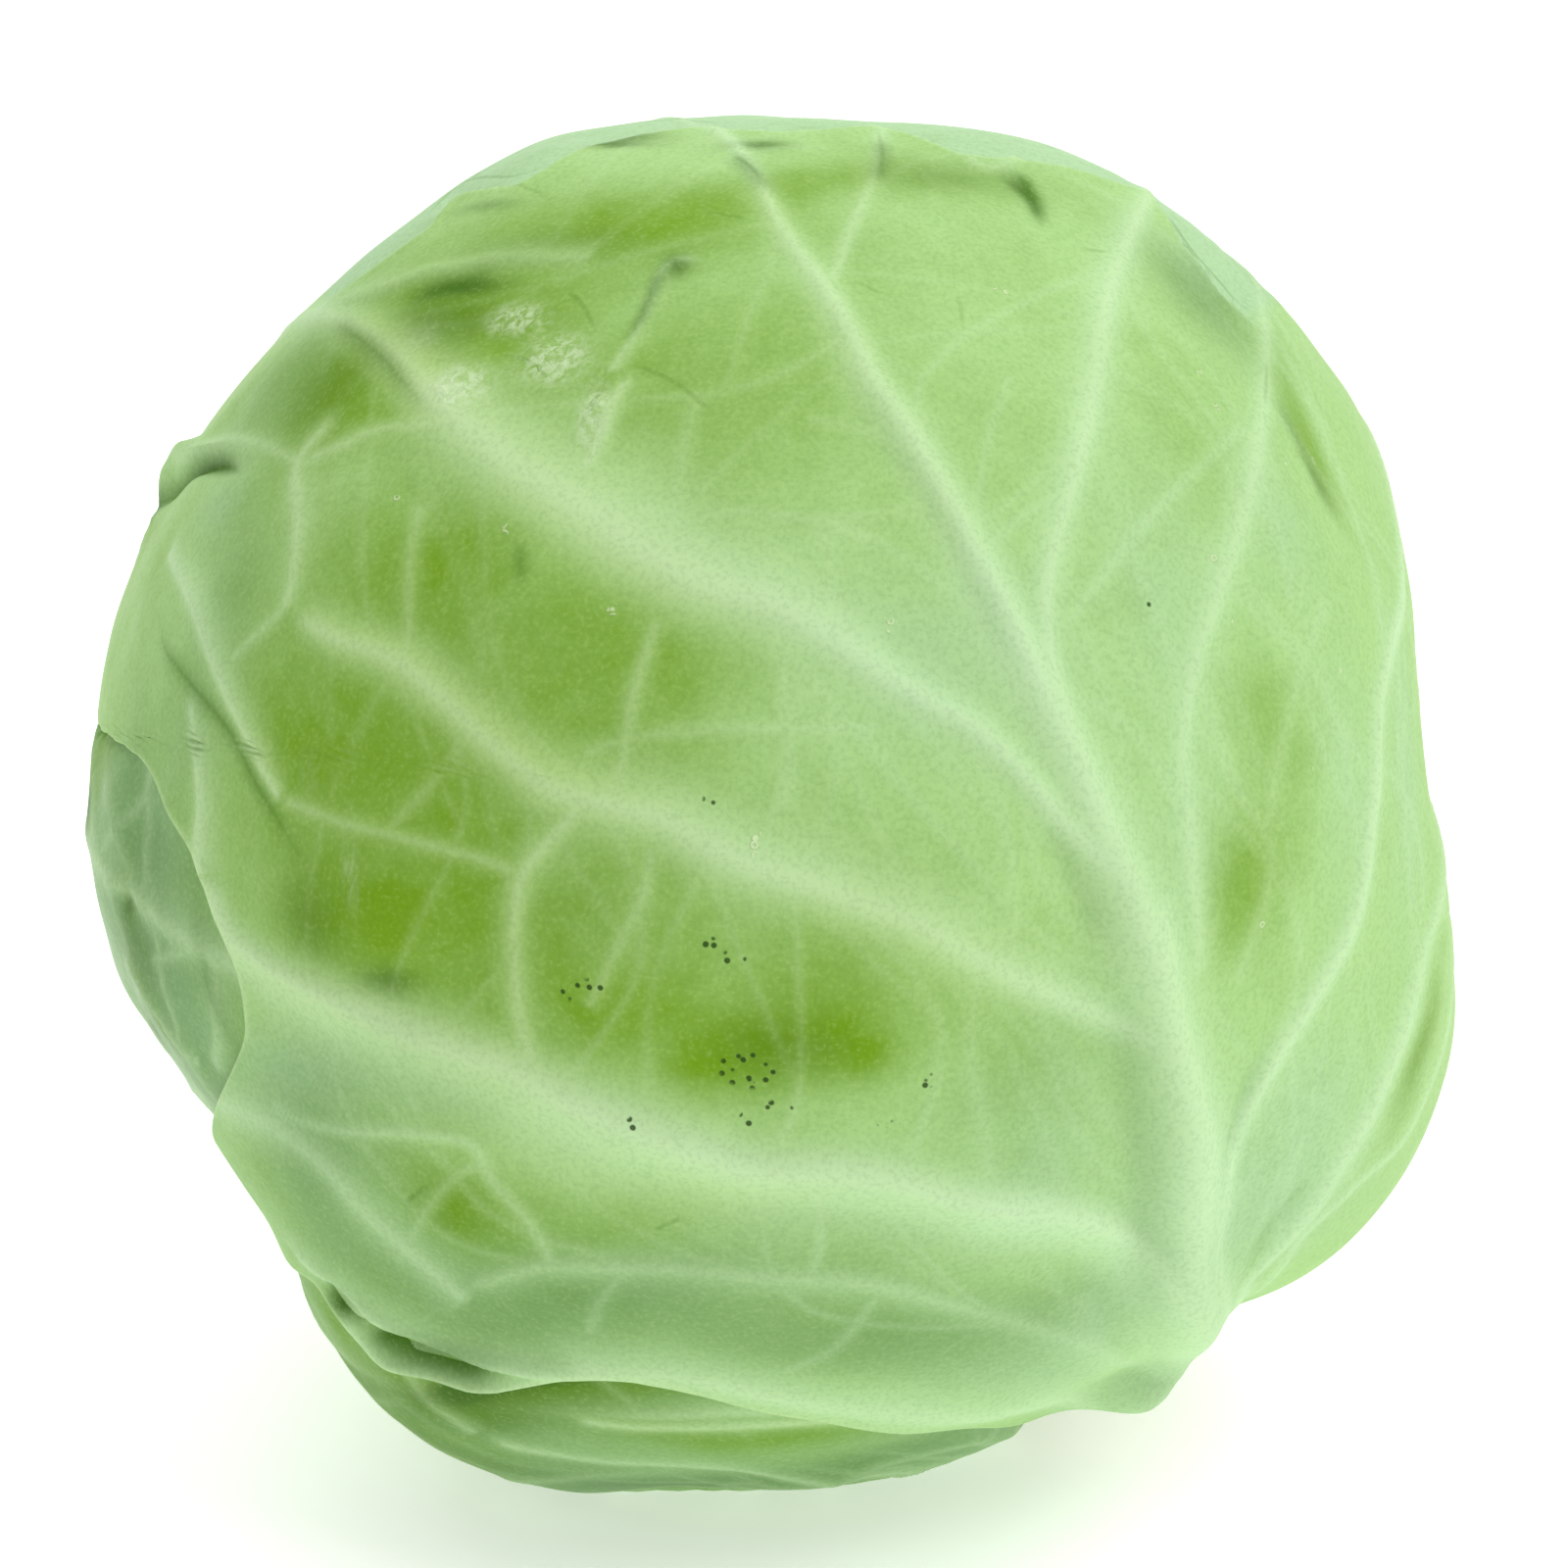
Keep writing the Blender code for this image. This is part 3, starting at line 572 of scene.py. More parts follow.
# Broad swellings and hollows of the front leaf: place, height, radius
SWELLINGS = (
    ((640, 470), -1.2, 9), ((520, 620), 1.2, 9), ((360, 560), 1.0, 8), ((700, 720), 0.8, 9),
    ((640, 960), 1.3, 10), ((400, 900), 1.4, 9), ((860, 1060), 1.3, 10), ((1000, 1140), 0.8, 7),
    ((1020, 880), 0.7, 8), ((900, 560), 0.9, 9), ((1060, 430), 0.7, 8), ((1170, 720), 0.8, 7),
    ((1300, 880), 1.0, 8), ((1330, 560), 1.1, 9), ((1200, 430), 0.6, 8), ((700, 1250), -0.8, 8),
    ((420, 1170), -0.6, 7), ((480, 1250), 0.8, 7), ((900, 1260), -0.4, 6), ((560, 330), -0.8, 6),
    ((480, 380), 0.9, 5), ((560, 360), 0.6, 3), ((470, 330), -0.7, 3), ((640, 300), -0.6, 4),
    ((960, 200), 0.5, 6), ((1290, 1180), -0.5, 5), ((1168, 1424), 3.6, 8), ((1250, 1380), -2.0, 6),
)

# Where the front leaf's edge stands off more: place, height, radius in mm
EDGE_LIFTS = (
    ((480, 1412), 0.9, 7), ((560, 1404), 0.9, 7), ((400, 1386), 1.0, 5), ((350, 1336), 0.9, 4),
    ((180, 840), 0.7, 6), ((900, 1452), 0.6, 9), ((235, 950), 0.4, 6),
)

# Colour patches of the front leaf: place, radius across and up the frame in mm, strength
YELLOW_PATCHES = (
    ((800, 1062), 9.5, 5.5, 1.0), ((730, 1085), 7, 4.5, 0.9), ((860, 1090), 6, 4, 0.85),
    ((600, 1020), 20, 9, 0.8), ((400, 940), 17, 10, 1.0), ((330, 770), 16, 13, 0.9),
    ((520, 760), 20, 13, 0.75), ((440, 570), 18, 12, 0.9), ((640, 650), 14, 10, 0.6),
    ((460, 320), 15, 9, 1.0), ((350, 390), 12, 10, 0.9), ((640, 220), 24, 9, 0.85),
    ((880, 180), 22, 7, 0.7), ((730, 380), 22, 14, 0.5), ((930, 520), 9, 9, 0.2),
    ((1060, 330), 8, 7, 0.15), ((1200, 420), 8, 11, 0.35), ((1335, 440), 4, 10, 0.75),
    ((1270, 900), 7, 10, 0.8), ((1295, 740), 7, 10, 0.4), ((480, 1240), 9, 7, 0.85),
    ((650, 1230), 22, 6, 0.5), ((1455, 1060), 4, 9, 0.5), ((900, 980), 16, 9, 0.4),
    ((420, 760), 36, 40, 0.5), ((540, 330), 34, 18, 0.4), ((820, 1020), 30, 14, 0.3),
    ((560, 960), 28, 16, 0.5), ((420, 360), 14, 9, 0.5),
)
BLUISH_PATCHES = (
    ((228, 522), 6, 5, 0.7), ((1240, 262), 8, 6, 0.8), ((300, 1100), 14, 9, 0.7),
    ((1440, 800), 6, 22, 0.6), ((1330, 1150), 10, 14, 0.75), ((1130, 1340), 10, 12, 0.8),
    ((1060, 1200), 8, 10, 0.6), ((1310, 1220), 16, 14, 0.85), ((1190, 1390), 14, 8, 0.9),
    ((1040, 1400), 16, 7, 0.7), ((1190, 1240), 10, 14, 0.7), ((1190, 600), 9, 18, 0.5),
    ((1290, 520), 7, 12, 0.5), ((1200, 900), 7, 16, 0.45), ((1370, 800), 7, 16, 0.5),
    ((960, 670), 16, 11, 0.55),
)
# Painted shade of the front leaf: darker low on the head and at its left side, where it is in its own
# shade
PAINTED_SHADE_PATCHES = (
    ((320, 1200), 14, 16, 0.95), ((560, 1330), 40, 13, 1.0), ((900, 1370), 38, 11, 0.85),
    ((1165, 1405), 14, 8, 0.7), ((1230, 300), 8, 12, 0.75), ((1060, 1110), 10, 10, 0.35),
    ((180, 760), 6, 10, 0.4), ((140, 900), 9, 26, 0.7), ((290, 390), 12, 14, 0.55),
    ((230, 620), 8, 16, 0.5), ((420, 1120), 16, 5, 0.4),
)
# Painted shade, deepest in pockets, under folds and under the leaf's edge, and where its upper left gets
# less light
PAINTED_DEEP_SHADE_PATCHES = (
    ((630, 142), 7, 2.2, 0.8), ((775, 152), 4, 2, 0.7), ((470, 290), 7, 1.8, 0.8),
    ((960, 180), 10, 5, 0.3), ((1352, 500), 2.0, 4, 0.3), ((1445, 1080), 3, 9, 0.2),
    ((1130, 960), 4, 10, 0.15), ((800, 1070), 8, 4, 0.3), ((320, 940), 5, 6, 0.35),
    ((150, 515), 2, 3, 0.9), ((440, 330), 9, 7, 0.5), ((330, 400), 8, 8, 0.25),
    ((560, 250), 14, 4, 0.3), ((396, 1002), 4, 2, 0.6), ((500, 212), 6, 1.5, 0.4),
    ((690, 270), 2, 2.5, 0.8), ((352, 1332), 3.5, 2.2, 0.95), ((440, 1380), 8, 3.2, 1.0),
    ((476, 1392), 6, 2.4, 1.0), ((1042, 192), 1.6, 3.4, 0.7), ((400, 1364), 4, 1.8, 0.9),
    ((625, 150), 6, 1.6, 0.7),
)

# Colour patches of the leaves under it, where their edges show
UNDER_YELLOW_PATCHES = (
    ((560, 1440), 22, 4.5, 1.0), ((430, 1400), 9, 6, 0.9), ((760, 1470), 30, 4, 0.7),
    ((350, 1370), 3, 8, 0.5), ((150, 1020), 3, 6, 0.7), ((130, 900), 3, 4, 0.5),
)
UNDER_BLUISH_PATCHES = (
    ((560, 160), 40, 6, 1.0), ((800, 120), 40, 3, 1.0), ((1000, 140), 24, 4, 0.9),
    ((280, 350), 12, 12, 1.0), ((150, 820), 10, 16, 0.7), ((190, 1020), 7, 14, 0.8),
    ((1000, 1490), 16, 5, 0.7), ((100, 700), 8, 14, 0.9), ((1240, 250), 10, 10, 1.0),
)
# Painted shade of the leaves under it, low on the head and at its left side
UNDER_PAINTED_SHADE_PATCHES = (
    ((760, 1510), 60, 8, 0.98), ((150, 950), 16, 30, 1.0), ((560, 1450), 40, 8, 0.75),
    ((1000, 1470), 20, 8, 0.6),
)
# Painted shadow under the front leaf's lower edge, and painted shade in pockets and notches of the leaves
# under it
UNDER_PAINTED_DEEP_SHADE_PATCHES = (
    ((530, 1427), 15, 2.4, 1.0), ((470, 1420), 7, 2.6, 1.0), ((350, 1338), 4, 2.5, 0.9),
    ((540, 1440), 24, 7, 0.35), ((130, 911), 2, 1.4, 1.0), ((150, 1045), 2, 4, 0.6),
    ((98, 815), 1.5, 4, 0.9), ((215, 1000), 1.2, 8, 0.5), ((135, 960), 6, 9, 0.35),
)
# Where the leaves under it stand out or lie smooth: place, height or share, radius in mm
UNDER_SWELLINGS = (
    ((310, 322), 0.6, 9), ((1244, 262), 0.6, 11), ((120, 820), 0.8, 6), ((130, 905), -0.8, 4),
    ((180, 1010), 0.6, 6),
)
UNDER_SMOOTH = (((760, 1490), 52, 12, 0.95), ((480, 1440), 20, 12, 0.9))
# Where the leaves lie tight on each other: place, radius across and up in mm, share
CLOSE_LAYERS = (
    ((430, 225), 16, 16, 0.85), ((560, 155), 18, 10, 0.85), ((700, 120), 14, 7, 0.7),
    ((310, 325), 9, 9, 0.6), ((1240, 270), 10, 10, 0.5),
)
# Ribs and folds of the leaves under it: places, height, half width, lean, paleness
UNDER_FOLDS = (
    (((214, 985), (218, 1020), (219, 1060), (214, 1094)), 0.9, 1.3, 0.4, 0.5),
    (((130, 985), (152, 1020), (172, 1055), (200, 1090)), 0.9, 1.1, 0.4, 0.6),
    (((112, 905), (128, 903), (146, 912)), 0.9, 0.8, 0.8, 0.5),
    (((110, 800), (122, 830), (128, 870), (140, 905), (160, 950)), 0.7, 1.2, 0.0, 0.3),
    (((150, 900), (170, 940), (190, 980)), 0.6, 0.9, 0.0, 0.3),
    (((600, 1455), (700, 1463), (800, 1462), (900, 1456), (1000, 1452)), 0.35, 1.2, 0.3, 0.8),
    (((510, 1490), (600, 1491), (750, 1500), (950, 1488)), 0.3, 1.0, 0.3, 0.8),
    (((380, 1385), (400, 1420), (430, 1450), (480, 1480)), 0.3, 1.2, 0.3, 0.6),
)

# Glossy spots, which also carry painted highlights, and specked and wet spots of the front leaf: the same
# four values
GLOSSY_PATCHES = (
    ((470, 398), 5, 4, 1.0), ((525, 322), 5, 3.5, 0.9), ((566, 365), 5, 5, 1.0),
    ((605, 425), 2.5, 6, 0.9), ((330, 520), 8, 8, 0.3), ((430, 345), 4, 4, 0.4),
    ((720, 560), 4, 4, 0.3), ((190, 940), 5, 8, 0.5), ((860, 545), 8, 4, 0.3), ((320, 790), 4, 8, 0.35),
    ((1060, 380), 8, 5, 0.25), ((365, 890), 2, 7, 0.5),
)
SPECK_CLUSTERS = (
    ((586, 1010), 1.9, 1.6, 1.0), ((612, 1003), 1.3, 1.3, 0.9), ((730, 816), 1.5, 1.3, 1.0),
    ((725, 963), 1.2, 1.2, 0.9), ((750, 976), 1.5, 1.2, 1.0), ((648, 1145), 1.2, 1.2, 1.0),
    ((768, 1092), 4.5, 2.8, 1.0), ((795, 1133), 1.9, 1.3, 1.0), ((763, 1143), 1.2, 1.2, 0.9),
    ((941, 1098), 1.8, 1.8, 1.0), ((902, 1141), 1.2, 1.2, 0.9), ((1176, 620), 1.2, 1.2, 1.0),
    ((200, 935), 1.3, 1.3, 1.0),
)
DROP_CLUSTERS = (
    ((910, 640), 1.1, 1.1, 1.0), ((625, 622), 0.9, 0.9, 1.0), ((769, 856), 1.0, 2.4, 1.0),
    ((1020, 298), 1.4, 1.1, 1.0), ((1237, 570), 0.9, 0.9, 1.0), ((1368, 685), 1.0, 1.5, 1.0),
    ((1228, 940), 1.2, 1.7, 1.0), ((1285, 945), 1.0, 1.0, 1.0), ((1220, 380), 0.9, 0.9, 1.0),
    ((1240, 417), 0.9, 0.9, 1.0), ((1345, 470), 1.0, 1.2, 1.0), ((1308, 472), 0.9, 0.9, 1.0),
    ((1262, 636), 0.9, 0.9, 1.0), ((1335, 783), 0.9, 0.9, 1.0), ((520, 540), 1.0, 1.0, 1.0),
    ((405, 512), 0.9, 0.9, 1.0),
)

# The edge where a second blade shows beyond the front leaf's upper side
SECOND_EDGE = (
    (322, 322), (338, 308), (362, 288), (402, 259), (438, 235), (468, 203), (498, 198), (528, 194),
    (558, 179), (600, 153), (648, 140), (708, 132), (750, 136), (791, 138), (840, 135), (889, 132),
    (927, 138), (980, 159), (1025, 165), (1063, 170), (1131, 179), (1165, 194), (1200, 222),
    (1214, 240), (1244, 296), (1290, 342),
)

# The front leaf's edge where the front view shows it, and its reach where it doesn't
LEFT_EDGE_PLACES = (
    (101, 747), (118, 750), (134, 762), (146, 780), (158, 810), (182, 840), (200, 876), (218, 918),
    (236, 954), (243, 985), (247, 1020), (249, 1060), (236, 1095), (224, 1124),
)
LOWER_EDGE_PLACES = (
    (320, 1308), (344, 1338), (368, 1364), (386, 1379), (415, 1391), (449, 1402), (480, 1410),
    (513, 1410), (547, 1404), (580, 1401), (613, 1402), (641, 1407), (680, 1416), (724, 1426),
    (780, 1438), (840, 1446), (900, 1452), (950, 1456), (1000, 1455), (1060, 1445), (1112, 1437),
)
OTHER_EDGE = (
    (-48, 97), (-35, 98), (-10, 100), (20, 101), (45, 98), (66, 95), (84, 97), (104, 96), (120, 98),
    (134, 101), (146, 98), (160, 94), (168, 90), (-145, 84), (-139, 82),
)


def traced(places):
    return smooth_path(seen(places))


def shaped_line(shape, places, height, half, lean, tone):
    """A traced line of one breadth, with this share of its height at even shares of the way."""
    heights = in_metres(height * part for part in shape)
    return Line(traced(places), heights, in_metres((half,)), lean, tone)


def under_lines():
    return [shaped_line((0.2, 1, 1, 0.2), *fold) for fold in UNDER_FOLDS]


def run_on(line):
    """A line that ends at the head's upper or right outline goes on over the hidden side."""
    last, before = line.path[-1], line.path[-8]
    if last @ OUT > 0.5 or (last @ UP < 0.02 and last @ RIGHT < 0.7):
        return line
    axis = normalise(np.cross(before, last))
    turns = np.radians(np.linspace(2, RUN_ON, 16))[:, None]
    further = last * np.cos(turns) + np.cross(axis, last) * np.sin(turns)
    return replace(
        line,
        path=np.vstack((line.path, further)),
        height=line.height + (0.8 * line.height[-1], 0.5 * line.height[-1]),
        half_width=line.half_width + (0.95 * line.half_width[-1], 0.8 * line.half_width[-1]),
    )


def faint_ribs(ribs):
    """The fine ribs that cross between neighbouring side ribs of the front leaf."""
    chosen = np.random.default_rng(FAINT_SEED)
    lines = []
    for first, second in FAINT_BETWEEN:
        lower, upper = ribs[first].path, ribs[second].path
        for share in np.arange(0.10, 0.95, 0.085):
            a = lower[int(np.clip(share + chosen.uniform(-0.04, 0.04), 0, 1) * (len(lower) - 1))]
            b = upper[int(np.clip(share + chosen.uniform(-0.10, 0.04), 0, 1) * (len(upper) - 1))]
            knee = a + (b - a) * chosen.uniform(0.3, 0.7)
            knee = knee + np.cross(knee, b - a) * chosen.uniform(-0.3, 0.3)
            c = lower[int(np.clip(share + chosen.uniform(0.05, 0.09), 0, 1) * (len(lower) - 1))]
            size = chosen.uniform(0.4, 1.0)
            height = (0.16 * size * MM,)
            path = smooth_path(normalise(np.array((a, knee, b))))
            lines.append(Line(path, height, (0.6 * MM,), 0.0, 0.26 * size))
            path = smooth_path(normalise(np.array((knee, 0.6 * knee + 0.4 * c, c))))
            lines.append(Line(path, height, (0.5 * MM,), 0.0, 0.2 * size))
    return lines


def front_lines():
    lines = [Line(traced(MIDRIB_PLACES), MIDRIB_HEIGHTS, MIDRIB_HALF_WIDTHS, 0.0, 0.8)]
    for places, heights, halves, lean, tone in SIDE_RIBS:
        lines.append(Line(traced(places), in_metres(heights), in_metres(halves), lean, tone))
    lines = [run_on(line) for line in lines]
    lines += faint_ribs(lines)
    for places, height, half, tone in SMALL_RIBS:
        lines.append(shaped_line((0.2, 0.55, 0.2), places, height, half, 0.0, tone))
    lines += [shaped_line((0.3, 1, 1, 0.3), *fold) for fold in FOLDS]
    for places, depth, half, tone in GROOVES:
        lines.append(shaped_line((-0.2, -1, -1, -0.2), places, depth, half, 0.0, tone))
    for places, tone in CREASES:
        lines.append(Line(traced(places), (0.0,), in_metres((0.6,)), 0.0, tone, thin=True))
    return lines


def patch_field(patches, directions):
    """Soft patches, each as wide and tall in the front view as it says."""
    left = np.ones(directions.shape[:-1])
    for spot, across, up, strength in patches:
        middle = seen([spot])[0]
        side = normalise(np.cross(UP, middle))
        over = np.cross(middle, side)
        x = (directions @ side) * HEAD_RADIUS / (across * MM)
        y = (directions @ over) * HEAD_RADIUS / (up * MM)
        left = left * (1 - strength * bell(x) * bell(y) * (directions @ middle > 0))
    return 1 - left


def pushed_about(directions, amount=1.6 * MM):
    """Directions moved a little, so that the edges of patches are uneven."""
    push = np.stack([ripple(directions, seed, 16) for seed in (41, 42, 43)], axis=-1)
    return normalise(directions + push * amount / HEAD_RADIUS)


def swelling_field(directions, swellings):
    total = np.zeros(directions.shape[:-1])
    for spot, height, radius in swellings:
        off = np.linalg.norm(directions - seen([spot])[0], axis=-1) * HEAD_RADIUS
        total = total + height * MM * bell(off / (radius * MM))
    return total


# Leaves

@dataclass
class Leaf:
    """One leaf, laid out as in the solids. midrib and rows are for a turned leaf."""

    name: str
    axes: tuple
    outline: tuple
    midrib: tuple
    rows: tuple
    edge_lift: float
    waves: int
    slot: str
    seed: int
    corners_rounded: float = 1.0


def reach(leaf, angle):
    angles, reaches = np.array(leaf.outline).T
    order = np.argsort(angles % 360)
    total = 0
    for offset, weight in ((-4, 1), (-2, 2), (0, 3), (2, 2), (4, 1)):
        turned = np.asarray(angle) + offset * leaf.corners_rounded
        total = total + weight / 9 * np.interp(turned, (angles % 360)[order], reaches[order], period=360)
    return total


def bezier(points, share):
    u = np.asarray(share)[..., None]
    p = points
    return (1 - u) ** 3 * p[0] + 3 * u * (1 - u) ** 2 * p[1] + 3 * u**2 * (1 - u) * p[2] + u**3 * p[3]


def outside(leaf, directions):
    angle, arc = direction_to_polar(leaf.axes, directions)
    return np.radians(arc - reach(leaf, angle)) * HEAD_RADIUS


def cover(leaf, directions, fall=COVER_FALL):
    return 1 - smooth_step((outside(leaf, directions) - COVER_HOLD) / fall)


def stack_over(leaves, directions):
    depth = np.zeros(directions.shape[:-1])
    bare = np.ones(directions.shape[:-1])
    over_table = np.zeros(directions.shape[:-1])
    for leaf in leaves:
        pressed = cover(leaf, directions, RELIEF_FALL)
        depth = depth + LAYER * cover(leaf, directions)
        bare = bare * (1 - pressed)
        over_table = over_table + LAYER * pressed
    return depth * (1 - patch_field(CLOSE_LAYERS, directions)), bare, over_table


def front_outline():
    places = LEFT_EDGE_PLACES + LOWER_EDGE_PLACES
    angle, arc = direction_to_polar((RIGHT, UP, OUT), seen(places))
    return tuple(zip(angle, arc)) + OTHER_EDGE


def front_leaf():
    return Leaf(
        name="leaf_front",
        axes=(RIGHT, UP, OUT),
        outline=front_outline(),
        midrib=(),
        rows=(),
        edge_lift=0.25 * MM,
        waves=7,
        slot="leaf",
        seed=3,
        corners_rounded=0.35,
    )


# A turned leaf's side ribs: start on the midrib, end angle, strength and two handles
SIDE_PLAN = (
    (0.06, 17, 0.2, (9.5, -57), (12.5, -54.5)),
    (0.10, 34, 0.4, (12, -48), (19, -43)),
    (0.15, 56, 0.6, (15, -36), (32, -27)),
    (0.23, 79, 0.8, (20, -20), (48, -5)),
    (0.34, 102, 0.9, (22, -2), (48, 18)),
    (0.50, 124, 0.8, (18, 18), (38, 42)),
    (0.70, 146, 0.6, (12, 42), (26, 60)),
)
# Its half outline from the stalk's end round to its tip: angle, reach
HALF_OUTLINE = (
    (0, 67), (10, 67), (14, 58), (20, 51), (30, 47.5), (45, 52), (60, 61), (75, 71), (90, 79),
    (105, 84), (122, 86), (140, 83), (160, 77), (180, 75),
)
TURNED_FROM_STALK = 78.0
TURNED_MIDRIB_HEIGHTS = in_metres((3.2, 4.6, 3.6, 2.6, 1.8, 1.1, 0.6))
TURNED_MIDRIB_HALVES = in_metres((6.5, 5.0, 3.8, 2.9, 2.2, 1.6, 1.0))


def plain_side(mirror, width, tall, offset):
    """The side ribs of one half of a turned leaf."""
    rows = []
    for start, angle, strength, first, second in SIDE_PLAN:
        handles = [(mirror * x * width, y * tall if y > 0 else y) for x, y in (first, second)]
        rows.append((start + offset, -90 + mirror * angle, strength, *handles))
    return rows


def turned_leaf(name, azimuth, width=1.0, tall=1.0, lean=0.0, lift=0.8 * MM, waves=8, seed=1):
    """A leaf whose midrib stands at this azimuth round the stalk, from the front."""
    turn = math.radians(azimuth)
    from_stalk = math.radians(TURNED_FROM_STALK)
    outward = math.cos(turn) * STALK_FRONT + math.sin(turn) * STALK_ACROSS
    out = math.cos(from_stalk) * STALK + math.sin(from_stalk) * outward
    up = -math.sin(from_stalk) * STALK + math.cos(from_stalk) * outward
    outline = []
    for angle, arc in HALF_OUTLINE:
        round_base = math.radians(angle)
        arc = arc * (1 + (width - 1) * math.sin(round_base))
        arc = arc * (1 + (tall - 1) * max(0, -math.cos(round_base)))
        outline += [(-90 - angle, arc), (-90 + angle, arc)]
    return Leaf(
        name=name,
        axes=(np.cross(up, out), up, out),
        outline=tuple(outline),
        midrib=((0, -67), (5 * lean, -25), (-6 * lean, 25 * tall), (0, 75 * tall)),
        rows=(plain_side(-1, width, tall, 0.0), plain_side(1, width, tall, 0.02)),
        edge_lift=lift,
        waves=waves,
        slot="leaf_under",
        seed=seed,
    )


def wrapper_leaves():
    """From the outermost inwards."""
    return [
        front_leaf(),
        turned_leaf("leaf_front_under", -22, width=1.04, lean=0.6, waves=9, seed=11),
        turned_leaf("leaf_bottom", -86, width=1.04, lean=1.0, waves=7, seed=12),
        turned_leaf("leaf_right", 100, width=1.02, lean=-1.0, waves=8, seed=13),
        turned_leaf("leaf_back_left", -150, width=1.0, lean=-0.6, waves=9, seed=14),
        turned_leaf("leaf_back", 160, width=1.04, tall=1.2, lean=0.8, waves=7, seed=15),
    ]


def turned_lines(leaf):
    """A turned leaf's midrib, its side ribs, and small ribs that join them."""
    chosen = np.random.default_rng(leaf.seed)
    midrib = np.array(leaf.midrib, float)
    stations = np.linspace(0, 1, 40)
    lines = [
        Line(normalise(chart_to_direction(leaf.axes, bezier(midrib, stations))),
             TURNED_MIDRIB_HEIGHTS, TURNED_MIDRIB_HALVES, 0.0, 0.8)
    ]
    for rows in leaf.rows:
        ribs = []
        for start, angle, strength, first, second in rows:
            angle = angle + chosen.uniform(-2.5, 2.5)
            end = polar(angle, 0.97 * reach(leaf, angle))
            points = np.array((bezier(midrib, start), first, second, end))
            points[1:3] += chosen.uniform(-1.5, 1.5, (2, 2))
            chart = bezier(points, stations)
            bend = np.sin(stations * chosen.uniform(9, 13) + chosen.uniform(0, 6)) * 1.1 * stations
            chart = chart + bend[:, None] * np.array((0.3, 1.0))
            ribs.append(chart)
            height = 0.3 + 0.9 * strength
            lines.append(
                Line(chart_to_direction(leaf.axes, chart),
                     tuple(h * height * MM for h in (1.0, 1.0, 0.8, 0.55, 0.25)),
                     tuple(w * MM * (0.7 + 0.4 * strength) for w in (2.0, 1.8, 1.7, 1.5, 1.1)),
                     chosen.uniform(-0.4, 0.4), 0.45 + 0.35 * strength)
            )
            lines += forked_ribs(leaf, chart, chosen)
        for lower, upper in zip(ribs, ribs[1:]):
            lines += joining_ribs(leaf, lower, upper, chosen)
    return lines


def forked_ribs(leaf, chart, chosen):
    """A side rib's forks, which run on towards the leaf's edge."""
    lines = []
    for share in (0.55, 0.75):
        k = int(share * (len(chart) - 1))
        ahead = chart[min(k + 3, len(chart) - 1)] - chart[k]
        ahead = ahead / np.linalg.norm(ahead)
        turn = chosen.choice((-1, 1)) * math.radians(chosen.uniform(28, 42))
        turned = np.array((
            ahead[0] * math.cos(turn) - ahead[1] * math.sin(turn),
            ahead[0] * math.sin(turn) + ahead[1] * math.cos(turn),
        ))
        length = chosen.uniform(8, 13)
        points = np.array((chart[k], chart[k] + ahead * length * 0.35, chart[k] + turned * length * 0.6,
                           chart[k] + turned * length))
        lines.append(
            Line(chart_to_direction(leaf.axes, bezier(points, np.linspace(0, 1, 12))),
                 (0.55 * MM, 0.4 * MM, 0.1 * MM), (1.1 * MM, 0.7 * MM), 0.0, 0.45)
        )
    return lines


def joining_ribs(leaf, lower, upper, chosen):
    """Small ribs that cross from one side rib to the next, with a knee on the way."""
    lines = []
    for share in (0.2, 0.36, 0.52, 0.68, 0.84):
        a = lower[int(np.clip(share + chosen.uniform(-0.05, 0.05), 0, 1) * (len(lower) - 1))]
        b = upper[int(np.clip(share + chosen.uniform(-0.12, 0.02), 0, 1) * (len(upper) - 1))]
        across = b - a
        knee = a + across * chosen.uniform(0.35, 0.65)
        knee = knee + np.array((-across[1], across[0])) * chosen.uniform(-0.22, 0.22)
        path = smooth_path(chart_to_direction(leaf.axes, np.array((a, knee, b))))
        size = chosen.uniform(0.5, 1.0)
        lines.append(Line(path, (0.35 * size * MM,), (0.9 * MM,), 0.0, 0.25 + 0.25 * size))
    return lines


# A leaf's surface

def add_second_edge(fields, directions):
    """A step down to the blade that shows beyond the front leaf's upper side, and its colour."""
    angle, arc = direction_to_polar((RIGHT, UP, OUT), directions)
    edge_angle, edge_arc = direction_to_polar((RIGHT, UP, OUT), seen(SECOND_EDGE))
    order = np.argsort(edge_angle)
    edge_angle, edge_arc = edge_angle[order], edge_arc[order]
    beyond = np.radians(arc - np.interp(angle, edge_angle, edge_arc)) * HEAD_RADIUS
    from_ends = np.minimum(angle - edge_angle[0], edge_angle[-1] - angle)
    along_edge = smooth_step(from_ends / STEP_ENDS)
    step = smooth_step(beyond / STEP_DOWN) * along_edge
    raised = STEP_RAISED * bell((beyond + 1.2 * MM) / (1.6 * MM)) * along_edge
    fields["relief"] += raised - STEP_DOWN * step * (1 - smooth_step(beyond / STEP_FORGOTTEN))
    fields["bluish"] = np.maximum(fields["bluish"], step)
    # A painted highlight along the step's edge
    rim = 0.6 * bell(beyond / (0.7 * MM)) * along_edge
    fields["pale"] = np.maximum(fields["pale"] * (1 - 0.8 * step), rim)
    for name in ("yellow", "halo", "dark", "painted_shade"):
        fields[name] = fields[name] * (1 - step)


